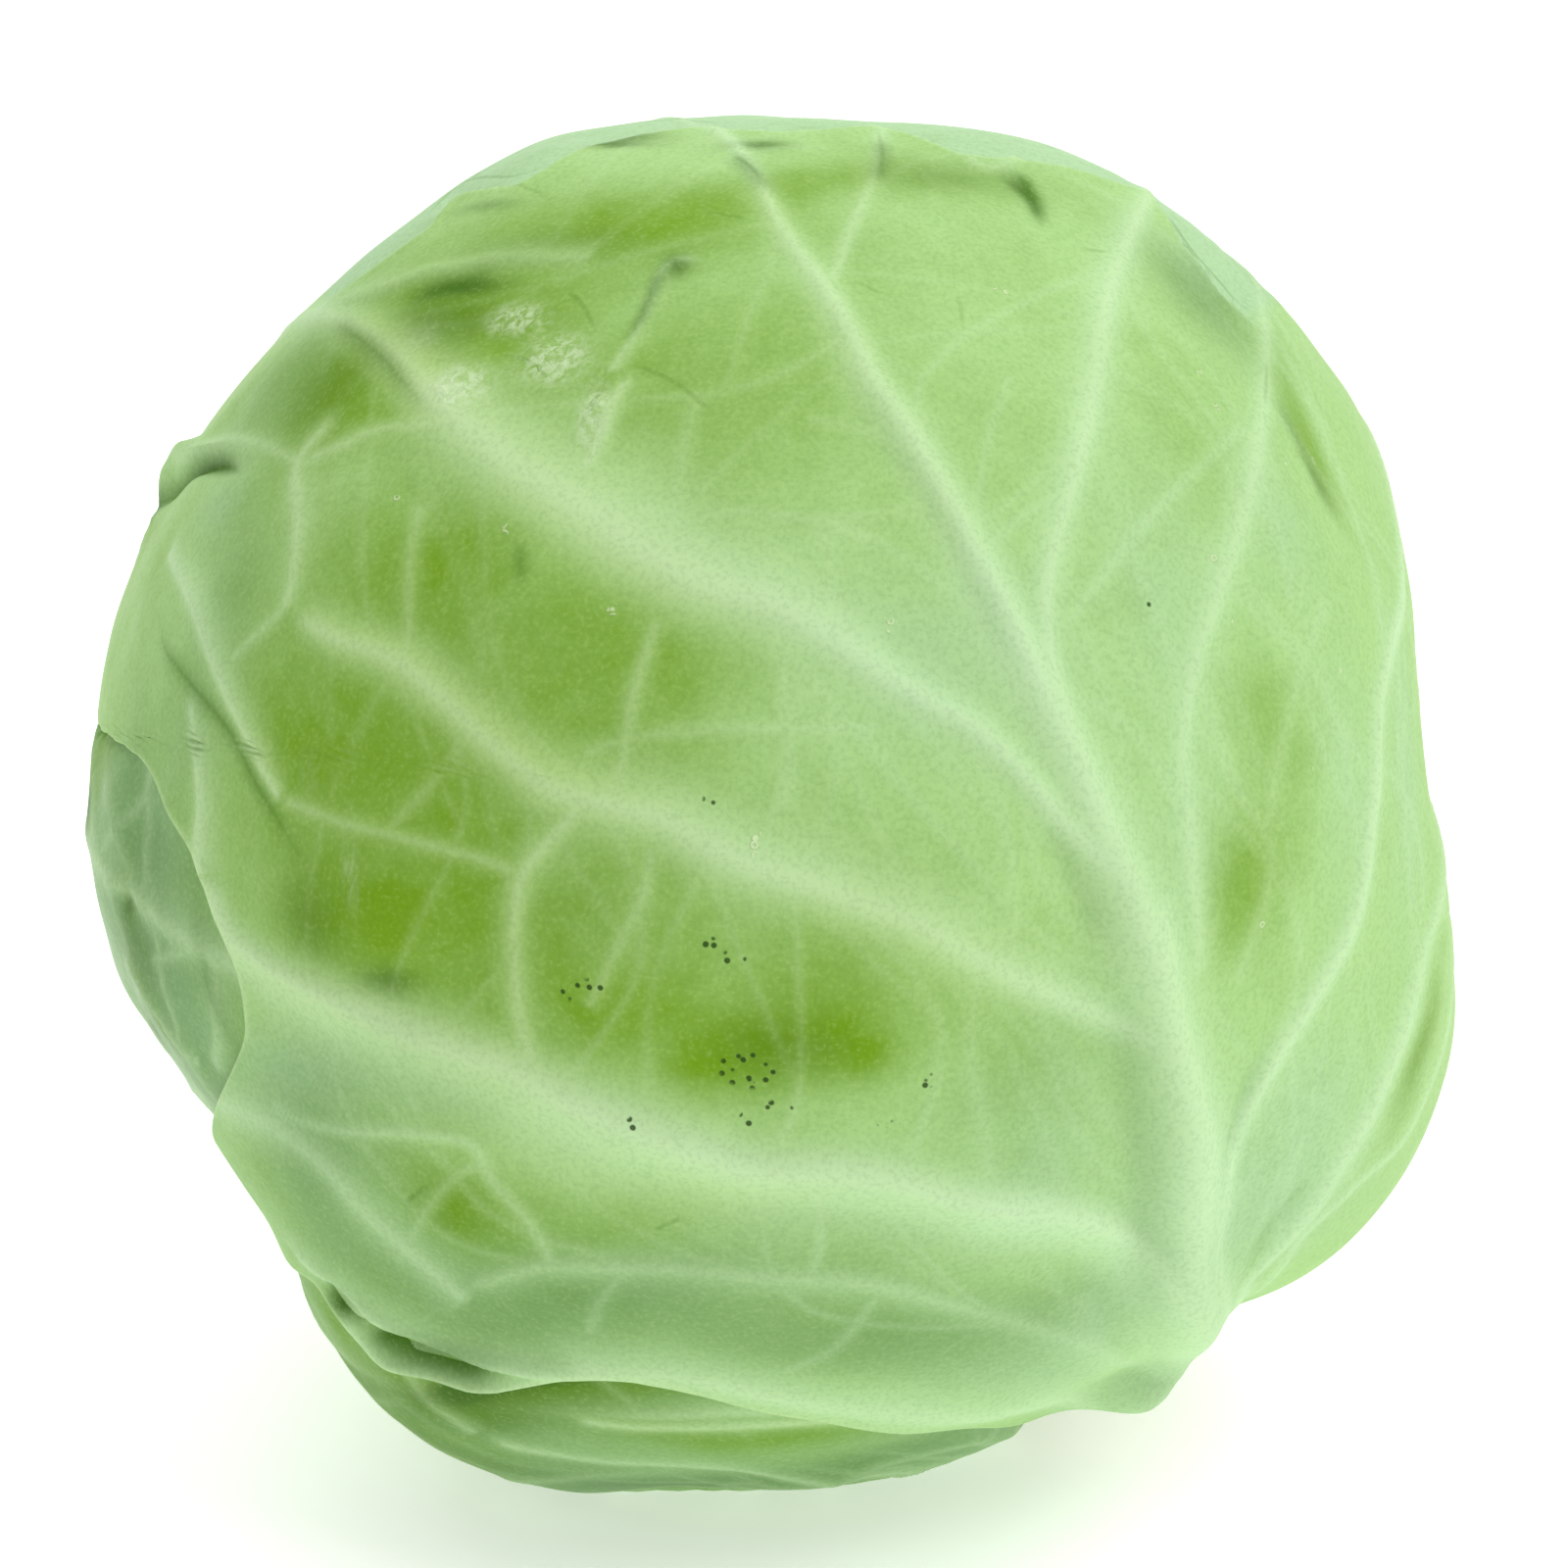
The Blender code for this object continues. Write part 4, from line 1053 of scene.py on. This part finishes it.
def edge_lift(leaf, directions):
    """How far the blade stands off near its edge, in waves and small ruffles."""
    angle, _ = direction_to_polar(leaf.axes, directions)
    inside = np.clip(-outside(leaf, directions), 0, None)
    wave = 0.55 + 0.45 * np.sin(np.radians(leaf.waves * angle))
    ruffle = 0.35 * ripple(directions, leaf.seed, 26)
    lift = leaf.edge_lift * np.clip(wave + ruffle, 0.05, 1.6) * smooth_step(1 - inside / EDGE_BAND)
    from_stalk = np.degrees(np.arccos(np.clip(directions @ STALK, -1, 1)))
    lift = lift * smooth_step((from_stalk - HELD_AT_STALK) / HELD_FALL)
    if leaf.name == "leaf_front":
        near_edge = smooth_step(1 - inside / EDGE_SPOT_BAND)
        lift = lift + swelling_field(directions, EDGE_LIFTS) * near_edge
    return lift


def front_surface(leaf, directions):
    fields = line_fields(front_lines(), directions)
    moved = pushed_about(directions)
    for name, patches, where in (
        ("yellow", YELLOW_PATCHES, moved), ("bluish", BLUISH_PATCHES, moved),
        ("painted_shade", PAINTED_SHADE_PATCHES, moved), ("dark", PAINTED_DEEP_SHADE_PATCHES, directions),
        ("gloss", GLOSSY_PATCHES, directions), ("specks", SPECK_CLUSTERS, directions),
        ("drops", DROP_CLUSTERS, directions),
    ):
        fields[name] = patch_field(patches, where)
    swell = swelling_field(directions, SWELLINGS)
    wrinkle = 0.30 * MM * ripple(directions, 5, 60) * fields["gloss"]
    uneven = 0.35 * MM * ripple(directions, 6, 14) + 0.15 * MM * ripple(directions, 7, 38)
    fields["relief"] = fields["relief"] + swell + wrinkle + uneven
    add_second_edge(fields, directions)
    return fields


def turned_surface(leaf, directions):
    smooth = 1 - patch_field(UNDER_SMOOTH, directions)
    ribs = line_fields(turned_lines(leaf), directions)
    fields = joined_fields(ribs, line_fields(under_lines(), directions), smooth)
    moved = pushed_about(directions)
    uneven = (
        0.6 * MM * ripple(directions, leaf.seed + 50, 9)
        + 0.3 * MM * ripple(directions, leaf.seed + 60, 21)
        + 0.14 * MM * ripple(directions, leaf.seed + 65, 48)
    )
    fields["relief"] += smooth * uneven + swelling_field(directions, UNDER_SWELLINGS)
    yellow = 0.6 * smooth_step(0.5 * ripple(directions, leaf.seed + 70, 9))
    bluish = 0.7 * smooth_step(0.3 + 0.6 * ripple(directions, leaf.seed + 80, 7))
    near_yellow = patch_field(UNDER_YELLOW_PATCHES, moved)
    fields["yellow"] = np.maximum(yellow, near_yellow)
    fields["bluish"] = np.maximum(bluish, patch_field(UNDER_BLUISH_PATCHES, moved)) * (1 - near_yellow)
    fields["painted_shade"] = patch_field(UNDER_PAINTED_SHADE_PATCHES, moved)
    fields["dark"] = patch_field(UNDER_PAINTED_DEEP_SHADE_PATCHES, moved)
    fields["gloss"] = smooth_step(0.8 * ripple(directions, leaf.seed + 90, 11)) * 0.4
    fields["specks"] = smooth_step(ripple(directions, leaf.seed + 95, 20) - 1.5)
    fields["drops"] = smooth_step(ripple(directions, leaf.seed + 97, 30) - 1.7)
    return fields


def leaf_points(leaf, outer_leaves, directions, fields, sunk=0.0):
    depth, bare, over_table = stack_over(outer_leaves, directions)
    lift = bare * edge_lift(leaf, directions)
    radius = head_radius(directions) - depth + lift + bare * fields["relief"] - sunk
    return place(directions, radius, over_table + sunk)


def disc_grid(count):
    side = np.linspace(-1, 1, count)
    u, v = np.meshgrid(side, side)
    return u * np.sqrt(1 - v**2 / 2), v * np.sqrt(1 - u**2 / 2)


def rim_index(count):
    """The square grid's outermost points, in order round it."""
    first = np.arange(count)
    return np.concatenate((
        first[:-1],
        (count - 1) + first[:-1] * count,
        (count * count - 1) - first[:-1],
        (count - 1 - first[:-1]) * count,
    ))


RIM_RINGS = (  # beyond the edge, below the outer face
    (0.22 * MM, 0.10 * MM), (0.36 * MM, 0.30 * MM), (0.36 * MM, 0.52 * MM), (0.20 * MM, 0.72 * MM),
    (-0.15 * MM, BLADE_THICKNESS), (-2.2 * MM, BLADE_THICKNESS), (-RIM_TURNED, BLADE_THICKNESS),
)


def leaf_mesh(leaf, outer_leaves, surface, count):
    """The outer face on a square grid drawn into the leaf's outline, and its rim turned under."""
    x, y = disc_grid(count)
    angle = np.degrees(np.arctan2(y, x))
    share = np.hypot(x, y)
    share = share * (1 - MIDDLE_DENSER + MIDDLE_DENSER * share**2)
    arc = reach(leaf, angle) * share
    directions = chart_to_direction(leaf.axes, polar(angle, arc)).reshape(-1, 3)
    fields = surface(leaf, directions)
    points = [leaf_points(leaf, outer_leaves, directions, fields)]
    attributes = {name: [values] for name, values in fields.items()}
    rim = rim_index(count)
    rim_angle, rim_arc = angle.reshape(-1)[rim], arc.reshape(-1)[rim]
    rim_fields = {name: values[rim] for name, values in fields.items()}
    for beyond, below in RIM_RINGS:
        moved = polar(rim_angle, rim_arc + math.degrees(beyond / HEAD_RADIUS))
        ring = chart_to_direction(leaf.axes, moved)
        if beyond < -1 * MM:
            rim_fields = surface(leaf, ring)
        points.append(leaf_points(leaf, outer_leaves, ring, rim_fields, below))
        for name, values in rim_fields.items():
            attributes[name].append(values)
    points = np.vstack(points)
    faces = grid_faces(count)
    inner = rim
    total = count * count
    for _ in RIM_RINGS:
        ring = total + np.arange(len(rim))
        faces.append(np.stack((inner, ring, np.roll(ring, -1), np.roll(inner, -1)), axis=1))
        inner = ring
        total += len(rim)
    del attributes["relief"]
    attributes = {name: np.concatenate(values) for name, values in attributes.items()}
    attributes["crease"] = attributes["crease"] / MM
    # Where the leaf's edge and its rim get a painted highlight
    attributes["edge"] = np.concatenate((
        smooth_step(1 + outside(leaf, directions) / (1.6 * MM)),
        np.ones(len(rim) * len(RIM_RINGS)),
    ))
    return points, np.vstack(faces), attributes


def grid_faces(count):
    row, column = np.meshgrid(np.arange(count - 1), np.arange(count - 1), indexing="ij")
    first = (row * count + column).reshape(-1)
    return [np.stack((first, first + 1, first + count + 1, first + count), axis=1)]


def add_object(name, points, faces, attributes, material):
    mesh = bpy.data.meshes.new(name)
    mesh.vertices.add(len(points))
    mesh.vertices.foreach_set("co", points.astype(np.float32).reshape(-1))
    mesh.loops.add(faces.size)
    mesh.loops.foreach_set("vertex_index", faces.astype(np.int32).reshape(-1))
    mesh.polygons.add(len(faces))
    mesh.polygons.foreach_set("loop_start", np.arange(0, faces.size, 4, dtype=np.int32))
    mesh.polygons.foreach_set("use_smooth", np.ones(len(faces), dtype=bool))
    mesh.update(calc_edges=True)
    mesh.validate()
    for attribute, values in attributes.items():
        layer = mesh.attributes.new(attribute, "FLOAT", "POINT")
        layer.data.foreach_set("value", values.astype(np.float32))
    mesh.materials.append(material)
    obj = bpy.data.objects.new(name, mesh)
    bpy.context.scene.collection.objects.link(obj)
    return obj


# Materials

def linear(red, green, blue):
    """A colour given as 8-bit screen values."""
    values = [c / 255 for c in (red, green, blue)]
    return tuple(c / 12.92 if c <= 0.04045 else ((c + 0.055) / 1.055) ** 2.4 for c in values) + (1.0,)


class Shader:
    """Short names for making and joining nodes."""

    def __init__(self, name):
        self.material = bpy.data.materials.new(name)
        self.material.use_nodes = True
        self.tree = self.material.node_tree
        self.surface = self.tree.nodes["Principled BSDF"]

    def node(self, kind, **values):
        node = self.tree.nodes.new(kind)
        for key, value in values.items():
            setattr(node, key, value)
        return node

    def put(self, socket, value):
        if isinstance(value, bpy.types.NodeSocket):
            self.tree.links.new(value, socket)
        else:
            socket.default_value = value

    def attribute(self, name):
        return self.node("ShaderNodeAttribute", attribute_name=name).outputs["Fac"]

    def position(self):
        return self.node("ShaderNodeTexCoord").outputs["Object"]

    def math(self, operation, *values, clamp=False):
        node = self.node("ShaderNodeMath", operation=operation, use_clamp=clamp)
        for socket, value in zip(node.inputs, values):
            self.put(socket, value)
        return node.outputs[0]

    def painted(self, colour, steps):
        """The colour with each step's own colour laid over it, by the step's share."""
        for share, over in steps:
            colour = self.mix(share, colour, over)
        return colour

    def ramp(self, value, low, high, to_low=0.0, to_high=1.0):
        node = self.node("ShaderNodeMapRange", interpolation_type="SMOOTHSTEP")
        names = ("Value", "From Min", "From Max", "To Min", "To Max")
        for name, number in zip(names, (value, low, high, to_low, to_high)):
            self.put(node.inputs[name], number)
        return node.outputs["Result"]

    def times(self, first, second, clamp=False):
        return self.math("MULTIPLY", first, second, clamp=clamp)

    def plus(self, first, second, clamp=False):
        return self.math("ADD", first, second, clamp=clamp)

    def minus(self, first, second, clamp=False):
        return self.math("SUBTRACT", first, second, clamp=clamp)

    def mix(self, share, first, second):
        node = self.node("ShaderNodeMix", data_type="RGBA")
        self.put(node.inputs["Factor"], share)
        self.put(node.inputs[6], first)
        self.put(node.inputs[7], second)
        return node.outputs[2]

    def texture(self, kind, vector, settings, **values):
        node = self.node(kind, **values)
        self.put(node.inputs["Vector"], vector)
        for name, value in settings.items():
            self.put(node.inputs[name], value)
        return node.outputs

    def noise(self, scale, detail=3.0, roughness=0.55, distortion=0.0, vector=None):
        settings = {"Scale": scale, "Detail": detail, "Roughness": roughness, "Distortion": distortion}
        return self.texture("ShaderNodeTexNoise", vector or self.position(), settings)["Fac"]

    def vector_math(self, operation, first, second, socket=1):
        node = self.node("ShaderNodeVectorMath", operation=operation)
        self.put(node.inputs[0], first)
        self.put(node.inputs[socket], second)
        return node.outputs[0]

    def warped(self, scale, amount):
        """Object coordinates pushed about, so that cells don't look regular."""
        settings = {"Scale": scale, "Detail": 2.0}
        noise = self.texture("ShaderNodeTexNoise", self.position(), settings)["Color"]
        centred = self.vector_math("SUBTRACT", noise, (0.5, 0.5, 0.5))
        push = self.vector_math("SCALE", centred, amount, "Scale")
        return self.vector_math("ADD", self.position(), push)

    def cells(self, feature, scale, vector):
        """Distance in a pattern of irregular cells: to their middles or to their walls."""
        outputs = self.texture("ShaderNodeTexVoronoi", vector, {"Scale": scale}, feature=feature)
        return outputs["Distance"]

    def net(self, scale, vector, width):
        """1 on the walls of irregular cells, and 0 inside them."""
        return self.ramp(self.cells("DISTANCE_TO_EDGE", scale, vector), 0.0, width, 1.0, 0.0)

    def finished(self, colour, rough, shine, height, distance, strength):
        """The surface's colour, roughness, reflection level and fine bumps."""
        bump = self.node("ShaderNodeBump")
        self.put(bump.inputs["Height"], height)
        self.put(bump.inputs["Distance"], distance)
        self.put(bump.inputs["Strength"], strength)
        for name, value in (
            ("Base Color", colour), ("Roughness", rough), ("Specular IOR Level", shine),
            ("Normal", bump.outputs["Normal"]),
        ):
            self.put(self.surface.inputs[name], value)
        return self.material


# What a leaf's mesh says at each of its points
LEAF_VALUES = (
    "pale", "halo", "crest", "shade", "crease", "crease_strength", "yellow", "bluish", "painted_shade", "dark",
    "gloss", "specks", "drops", "edge",
)
# Colours that the leaves share
# Painted shade, low on the head and at its left side
PAINTED_SHADE_GREEN = linear(102, 140, 84)
PAINTED_SHADE_OLIVE = linear(86, 128, 22)
# Painted shade in pockets, under folds and under edges
PAINTED_DEEP_SHADE_GREEN = linear(56, 98, 2)
YELLOWED_VEIN = linear(182, 212, 132)
SHADED_VEIN = linear(140, 178, 116)
# A painted highlight along the crests of ribs and folds
PAINTED_CREST_HIGHLIGHT = linear(212, 236, 192)
# A painted highlight along leaf edges, where their thickness catches light
PAINTED_EDGE_HIGHLIGHT = linear(196, 222, 166)
# Painted shade in grooves
PAINTED_GROOVE_SHADE = linear(62, 108, 6)
# Painted shade along creases too narrow for the mesh
PAINTED_CREASE_SHADE = linear(74, 120, 16)
GRAIN_DARK = linear(86, 130, 40)
GRAIN_LIGHT = linear(208, 234, 150)
# Painted highlights on glossy spots
PAINTED_GLINT_WHITE = linear(214, 234, 194)
SPECK_DARK = linear(40, 68, 26)
DROP_LIGHT = linear(222, 240, 190)


def leaf_marks(s):
    """The shares that a leaf's colour, gloss and fine bumps are mixed by."""
    marks = {name: s.attribute(name) for name in LEAF_VALUES}
    soft = s.noise(60.0, 3.0)
    marks["grain"] = s.noise(1500.0, 2.0, 0.6)
    marks["mottled"] = s.times(s.minus(s.noise(260.0, 4.0, 0.6), 0.5), 0.8)
    less_mottled = s.times(marks["mottled"], 0.5)
    uneven = s.plus(s.times(s.minus(soft, 0.5), 0.7), less_mottled)
    between_ribs = s.minus(1.0, s.times(marks["halo"], 0.85))
    marks["yellowed"] = s.times(s.plus(marks["yellow"], uneven), between_ribs, clamp=True)
    marks["bluish"] = s.plus(marks["bluish"], less_mottled, clamp=True)
    marks["painted_shade"] = s.times(marks["painted_shade"], 0.8)
    line = s.ramp(s.math("ABSOLUTE", marks["crease"]), 0.06, 0.55, 1.0, 0.0)
    marks["crease"] = s.times(line, marks["crease_strength"])
    marks["pale"] = s.times(marks["pale"], s.ramp(soft, 0.25, 0.75, 0.8, 1.2), clamp=True)
    # No pale veins, crests or edges where deep shade is painted
    in_the_open = s.minus(1.0, s.times(marks["dark"], 0.85))
    for name in ("pale", "crest", "edge"):
        marks[name] = s.times(marks[name], in_the_open)
    return marks


def spot_marks(s, marks):
    """Specks, and drops with a bright rim."""
    spots = s.cells("F1", 760.0, s.position())
    speck = s.times(s.ramp(spots, 0.22, 0.36, 1.0, 0.0), s.ramp(marks["specks"], 0.30, 0.5))
    ring = s.times(s.ramp(spots, 0.14, 0.28), s.ramp(spots, 0.32, 0.46, 1.0, 0.0))
    return speck, s.times(ring, s.ramp(marks["drops"], 0.35, 0.6))


def painted_glints(s, gloss):
    """Painted highlights: bright streaks where the leaf is glossy."""
    streaks = s.node("ShaderNodeMapping", vector_type="POINT")
    s.put(streaks.inputs["Vector"], s.position())
    streaks.inputs["Rotation"].default_value = (0.0, math.radians(-58), 0.0)
    streaks.inputs["Scale"].default_value = (1.0, 1.0, 0.22)
    glint = s.noise(900.0, 3.0, 0.6, 0.8, streaks.outputs["Vector"])
    return s.times(s.ramp(glint, 0.34, 0.66), s.ramp(gloss, 0.15, 1.0))


def leaf_material(name, blade, yellow, bluish, vein):
    s = Shader(name)
    marks = leaf_marks(s)
    gloss, grain, painted_shade = marks["gloss"], marks["grain"], marks["painted_shade"]
    speck, drop = spot_marks(s, marks)
    # Veins are yellowed in yellow patches and darker where shade is painted
    vein = s.painted(vein, ((marks["yellow"], YELLOWED_VEIN), (s.times(painted_shade, 0.7), SHADED_VEIN)))
    colour = s.painted(blade, (
        (s.times(marks["bluish"], 0.8), bluish),
        (s.times(marks["yellowed"], 0.95), yellow),
        # painted shade, low on the head and at its left side
        (painted_shade, s.mix(marks["yellowed"], PAINTED_SHADE_GREEN, PAINTED_SHADE_OLIVE)),
        # painted shade in pockets, under folds and under edges
        (s.times(marks["dark"], 1.1, clamp=True), PAINTED_DEEP_SHADE_GREEN),
        (s.times(marks["halo"], 0.42), vein),
        (s.times(marks["pale"], 0.66), vein),
        # painted highlight along rib and fold crests
        (s.times(marks["crest"], 0.35), PAINTED_CREST_HIGHLIGHT),
        # painted highlight on leaf edges
        (s.times(marks["edge"], 0.45), PAINTED_EDGE_HIGHLIGHT),
        # painted shade in grooves
        (s.times(marks["shade"], 0.92), PAINTED_GROOVE_SHADE),
        # painted shade along creases
        (s.times(marks["crease"], 0.5), PAINTED_CREASE_SHADE),
        (s.ramp(grain, 0.30, 0.55, 0.14, 0.0), GRAIN_DARK),
        (s.ramp(grain, 0.50, 0.75, 0.0, 0.12), GRAIN_LIGHT),
        # painted highlights on glossy spots
        (s.times(painted_glints(s, gloss), 0.62), PAINTED_GLINT_WHITE),
        (s.times(speck, 0.9), SPECK_DARK),
        (s.times(drop, 0.6), DROP_LIGHT),
    ))
    rough = s.plus(0.46, s.times(marks["mottled"], 0.25))
    rough = s.minus(rough, s.times(gloss, 0.12), clamp=True)
    shine = s.plus(0.03, s.times(gloss, 0.25))
    crinkle = s.times(s.noise(330.0, 3.0, 0.65, 0.6), s.plus(s.times(gloss, 1.6), 0.35))
    height = s.minus(crinkle, s.times(marks["crease"], 0.4))
    height = s.plus(height, s.times(grain, 0.10))
    height = s.plus(height, s.times(drop, 0.5))
    return s.finished(colour, rough, shine, height, 0.4 * MM, 0.7)


def stalk_look():
    s = Shader("stalk_cut")
    wobble = s.plus(s.attribute("ring"), s.times(s.minus(s.noise(220.0, 3.0), 0.5), 0.16))
    fibres = s.noise(900.0, 3.0, 0.6)
    strands = s.net(520.0, s.warped(150.0, 0.003), 0.22)
    ring = s.times(s.ramp(wobble, 0.60, 0.70), s.ramp(wobble, 0.78, 0.90, 1.0, 0.0))
    stains = s.ramp(s.noise(90.0, 4.0), 0.55, 0.75)
    colour = s.painted(linear(226, 230, 190), (
        (s.ramp(wobble, 0.45, 0.72), linear(206, 222, 160)),
        (s.times(ring, s.times(strands, 0.8)), linear(150, 168, 92)),
        (s.ramp(wobble, 0.84, 0.97), linear(168, 196, 128)),
        (s.times(s.ramp(fibres, 0.5, 0.75), 0.3), linear(188, 176, 120)),
        (s.times(stains, 0.45), linear(190, 168, 112)),
    ))
    rough = s.ramp(fibres, 0.2, 0.8, 0.5, 0.8)
    height = s.plus(s.times(fibres, 0.6), s.times(strands, 0.4))
    return s.finished(colour, rough, 0.3, height, 0.5 * MM, 0.7)


def heart_look():
    s = Shader("heart_leaves")
    net = s.net(110.0, s.warped(60.0, 0.012), 0.12)
    colour = s.painted(linear(196, 214, 140), (
        (s.noise(30.0, 4.0), linear(214, 228, 172)),
        (s.times(net, 0.5), linear(228, 236, 200)),
    ))
    rough = s.ramp(s.noise(300.0), 0.3, 0.7, 0.36, 0.5)
    return s.finished(colour, rough, 0.5, net, 0.5 * MM, 0.6)


# The heart and the stalk

def add_heart(leaves):
    """A ball of packed inner leaves, stepped down where each ends. Six squares make it."""
    side = np.tan(np.linspace(-math.pi / 4, math.pi / 4, HEART_GRID))
    u, v = np.meshgrid(side, side)
    one = np.ones_like(u)
    points, faces = [], []
    for k, (x, y, z) in enumerate((
        (u, v, one), (v, u, -one), (one, u, v), (-one, v, u), (v, one, u), (u, -one, v),
    )):
        directions = normalise(np.stack((x, y, z), axis=-1).reshape(-1, 3))
        depth, _, over_table = stack_over(leaves, directions)
        radius = head_radius(directions) - depth - HEART_SUNK
        for azimuth in HEART_LEAF_AZIMUTHS:
            beyond = outside(turned_leaf("inner", azimuth), directions)
            radius = radius - HEART_LEAF_STEP * smooth_step((beyond + 1 * MM) / (2 * MM))
        radius = radius + 0.5 * MM * ripple(directions, 31, 12)
        points.append(place(directions, radius, over_table + HEART_SUNK))
        faces.append(grid_faces(HEART_GRID)[0] + k * HEART_GRID**2)
    return add_object("heart_dressed", np.vstack(points), np.vstack(faces), {}, heart_look())


def stalk_rings():
    """Rings from the middle of the cut face to its rounded edge and down the side.

    Each has a radius, a height along the stalk and the share of the way to the skin.
    """
    flat = STALK_RADIUS - CUT_ROUNDED
    rings = [(share * flat, STALK_CUT_AT, share * 0.94) for share in np.linspace(0.02, 1.0, 26)]
    for turn in np.linspace(0.15, 1, 5):
        angle = turn * math.pi / 2
        radius = flat + CUT_ROUNDED * math.sin(angle)
        rings.append((radius, STALK_CUT_AT - CUT_ROUNDED * (1 - math.cos(angle)), 0.94 + 0.06 * turn))
    for share in np.linspace(0.04, 1, 24):
        height = STALK_CUT_AT - CUT_ROUNDED - STALK_SHOWN * share
        rings.append((STALK_RADIUS + STALK_FLARE * share, height, 1.0))
    return rings


def add_stalk():
    """The stalk's cut end, ribbed along its side, with the rough face the knife left."""
    rings = stalk_rings()
    around = np.linspace(0, 2 * math.pi, STALK_SIDES, endpoint=False)
    across = normalise(np.cross(STALK, STALK_FRONT))
    outward = np.cos(around)[:, None] * STALK_FRONT + np.sin(around)[:, None] * across
    points, ring_share = [], []
    for radius, height, share in rings:
        part = radius / STALK_RADIUS
        on_face = 1.0 if height > STALK_CUT_AT - 0.5 * MM else 0.0
        ribs = STALK_RIBBED * np.sin(around * 11 + 2 * np.sin(3 * around)) * part**3
        grown = radius + ribs * (1 - on_face * 0.5)
        saw = on_face * SAW_MARKS * np.sin(around * 2 + part * 9)
        dish = -CUT_DISHED * bell(part / 0.55) * on_face
        points.append(CENTRE + (height + saw + dish)[:, None] * STALK + grown[:, None] * outward)
        ring_share.append(np.full(STALK_SIDES, share))
    points.append((CENTRE + (STALK_CUT_AT - CUT_DISHED) * STALK)[None])
    ring_share.append(np.zeros(1))
    faces = []
    for k in range(len(rings) - 1):
        a = k * STALK_SIDES + np.arange(STALK_SIDES)
        b = np.roll(a, -1)
        faces.append(np.stack((a, a + STALK_SIDES, b + STALK_SIDES, b), axis=1))
    quads = np.arange(0, STALK_SIDES, 2)
    hub = np.full(len(quads), len(rings) * STALK_SIDES)
    faces.append(np.stack((hub, quads, quads + 1, (quads + 2) % STALK_SIDES), axis=1))
    attributes = {"ring": np.concatenate(ring_share)}
    return add_object("stalk_dressed", np.vstack(points), np.vstack(faces), attributes, stalk_look())


# The stage

def add_floor():
    """A pale sweep: flat under the head, and curving up far behind it."""
    rows = [(y, 0.0) for y in (FLOOR_FRONT, -0.6, 0.0, 0.6, FLOOR_FLAT_TO)]
    for angle in np.linspace(0, math.pi / 2, 16)[1:]:
        along_floor = FLOOR_FLAT_TO + FLOOR_CURVE * math.sin(angle)
        rows.append((along_floor, FLOOR_CURVE * (1 - math.cos(angle))))
    rows.append((FLOOR_FLAT_TO + FLOOR_CURVE, FLOOR_TOP))
    points = np.array([(x, y, z) for y, z in rows for x in (-FLOOR_HALF_WIDTH, FLOOR_HALF_WIDTH)])
    faces = np.array([(2 * k, 2 * k + 1, 2 * k + 3, 2 * k + 2) for k in range(len(rows) - 1)])
    s = Shader("pale_floor")
    tone = s.mix(s.noise(3.0, 2.0), linear(250, 250, 250), linear(247, 248, 247))
    s.put(s.surface.inputs["Base Color"], tone)
    s.surface.inputs["Roughness"].default_value = 0.9
    s.surface.inputs["Specular IOR Level"].default_value = 0.1
    s.surface.inputs["Emission Color"].default_value = (1.0, 1.0, 1.0, 1)
    s.surface.inputs["Emission Strength"].default_value = FLOOR_GLOW
    floor = add_object("floor", points, faces, {}, s.material)


def add_light(name, towards, distance, size, power):
    """An area light that the head sees in this direction of the front view."""
    light = bpy.data.lights.new(name, "AREA")
    light.size = size
    light.energy = power
    obj = bpy.data.objects.new(name, light)
    right, up, out = towards
    direction = Vector(normalise(right * RIGHT + up * UP + out * OUT))
    obj.location = Vector(CENTRE) + direction * distance
    obj.rotation_euler = direction.to_track_quat("Z", "Y").to_euler()
    bpy.context.scene.collection.objects.link(obj)


def add_world():
    world = bpy.data.worlds.new("studio")
    world.use_nodes = True
    background = world.node_tree.nodes["Background"]
    background.inputs["Color"].default_value = (1.0, 1.0, 1.0, 1)
    background.inputs["Strength"].default_value = WORLD_STRENGTH
    bpy.context.scene.world = world


def add_camera():
    camera = bpy.data.cameras.new("front_view")
    camera.sensor_width = SENSOR
    camera.lens = SENSOR * (VIEW_DISTANCE / MM) * FRAME_PER_MM / FRAME_SIDE
    camera.shift_x = (FRAME_SIDE / 2 - HEAD_IN_FRAME[0]) / FRAME_SIDE
    camera.shift_y = (HEAD_IN_FRAME[1] - FRAME_SIDE / 2) / FRAME_SIDE
    obj = bpy.data.objects.new("front_view", camera)
    turn = Matrix((RIGHT, UP, OUT)).transposed()
    obj.matrix_world = Matrix.Translation(Vector(CENTRE + VIEW_DISTANCE * OUT)) @ turn.to_4x4()
    bpy.context.scene.collection.objects.link(obj)
    bpy.context.scene.camera = obj


# The scene

def dress(piece, node):
    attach(piece, "root")
    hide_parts(node)


def main():
    front = leaf_material(
        "leaf_front_look", blade=linear(167, 207, 132), yellow=linear(112, 156, 4),
        bluish=linear(172, 208, 164), vein=linear(196, 230, 182),
    )
    under = leaf_material(
        "leaf_under_look", blade=linear(140, 180, 104), yellow=linear(108, 150, 14),
        bluish=linear(158, 196, 152), vein=linear(180, 214, 160),
    )
    leaves = wrapper_leaves()
    for index, leaf in enumerate(leaves):
        first = index == 0
        points, faces, attributes = leaf_mesh(
            leaf, leaves[:index], front_surface if first else turned_surface,
            FRONT_GRID if first else LEAF_GRID,
        )
        piece = add_object(leaf.name + "_dressed", points, faces, attributes, front if first else under)
        dress(piece, leaf.name)
    dress(add_heart(leaves), "heart")
    dress(add_stalk(), "stalk")
    add_floor()
    for name, values in LIGHTS.items():
        add_light(name, *values)
    add_world()
    add_camera()
    bpy.context.scene.view_settings.view_transform = "Standard"


main()
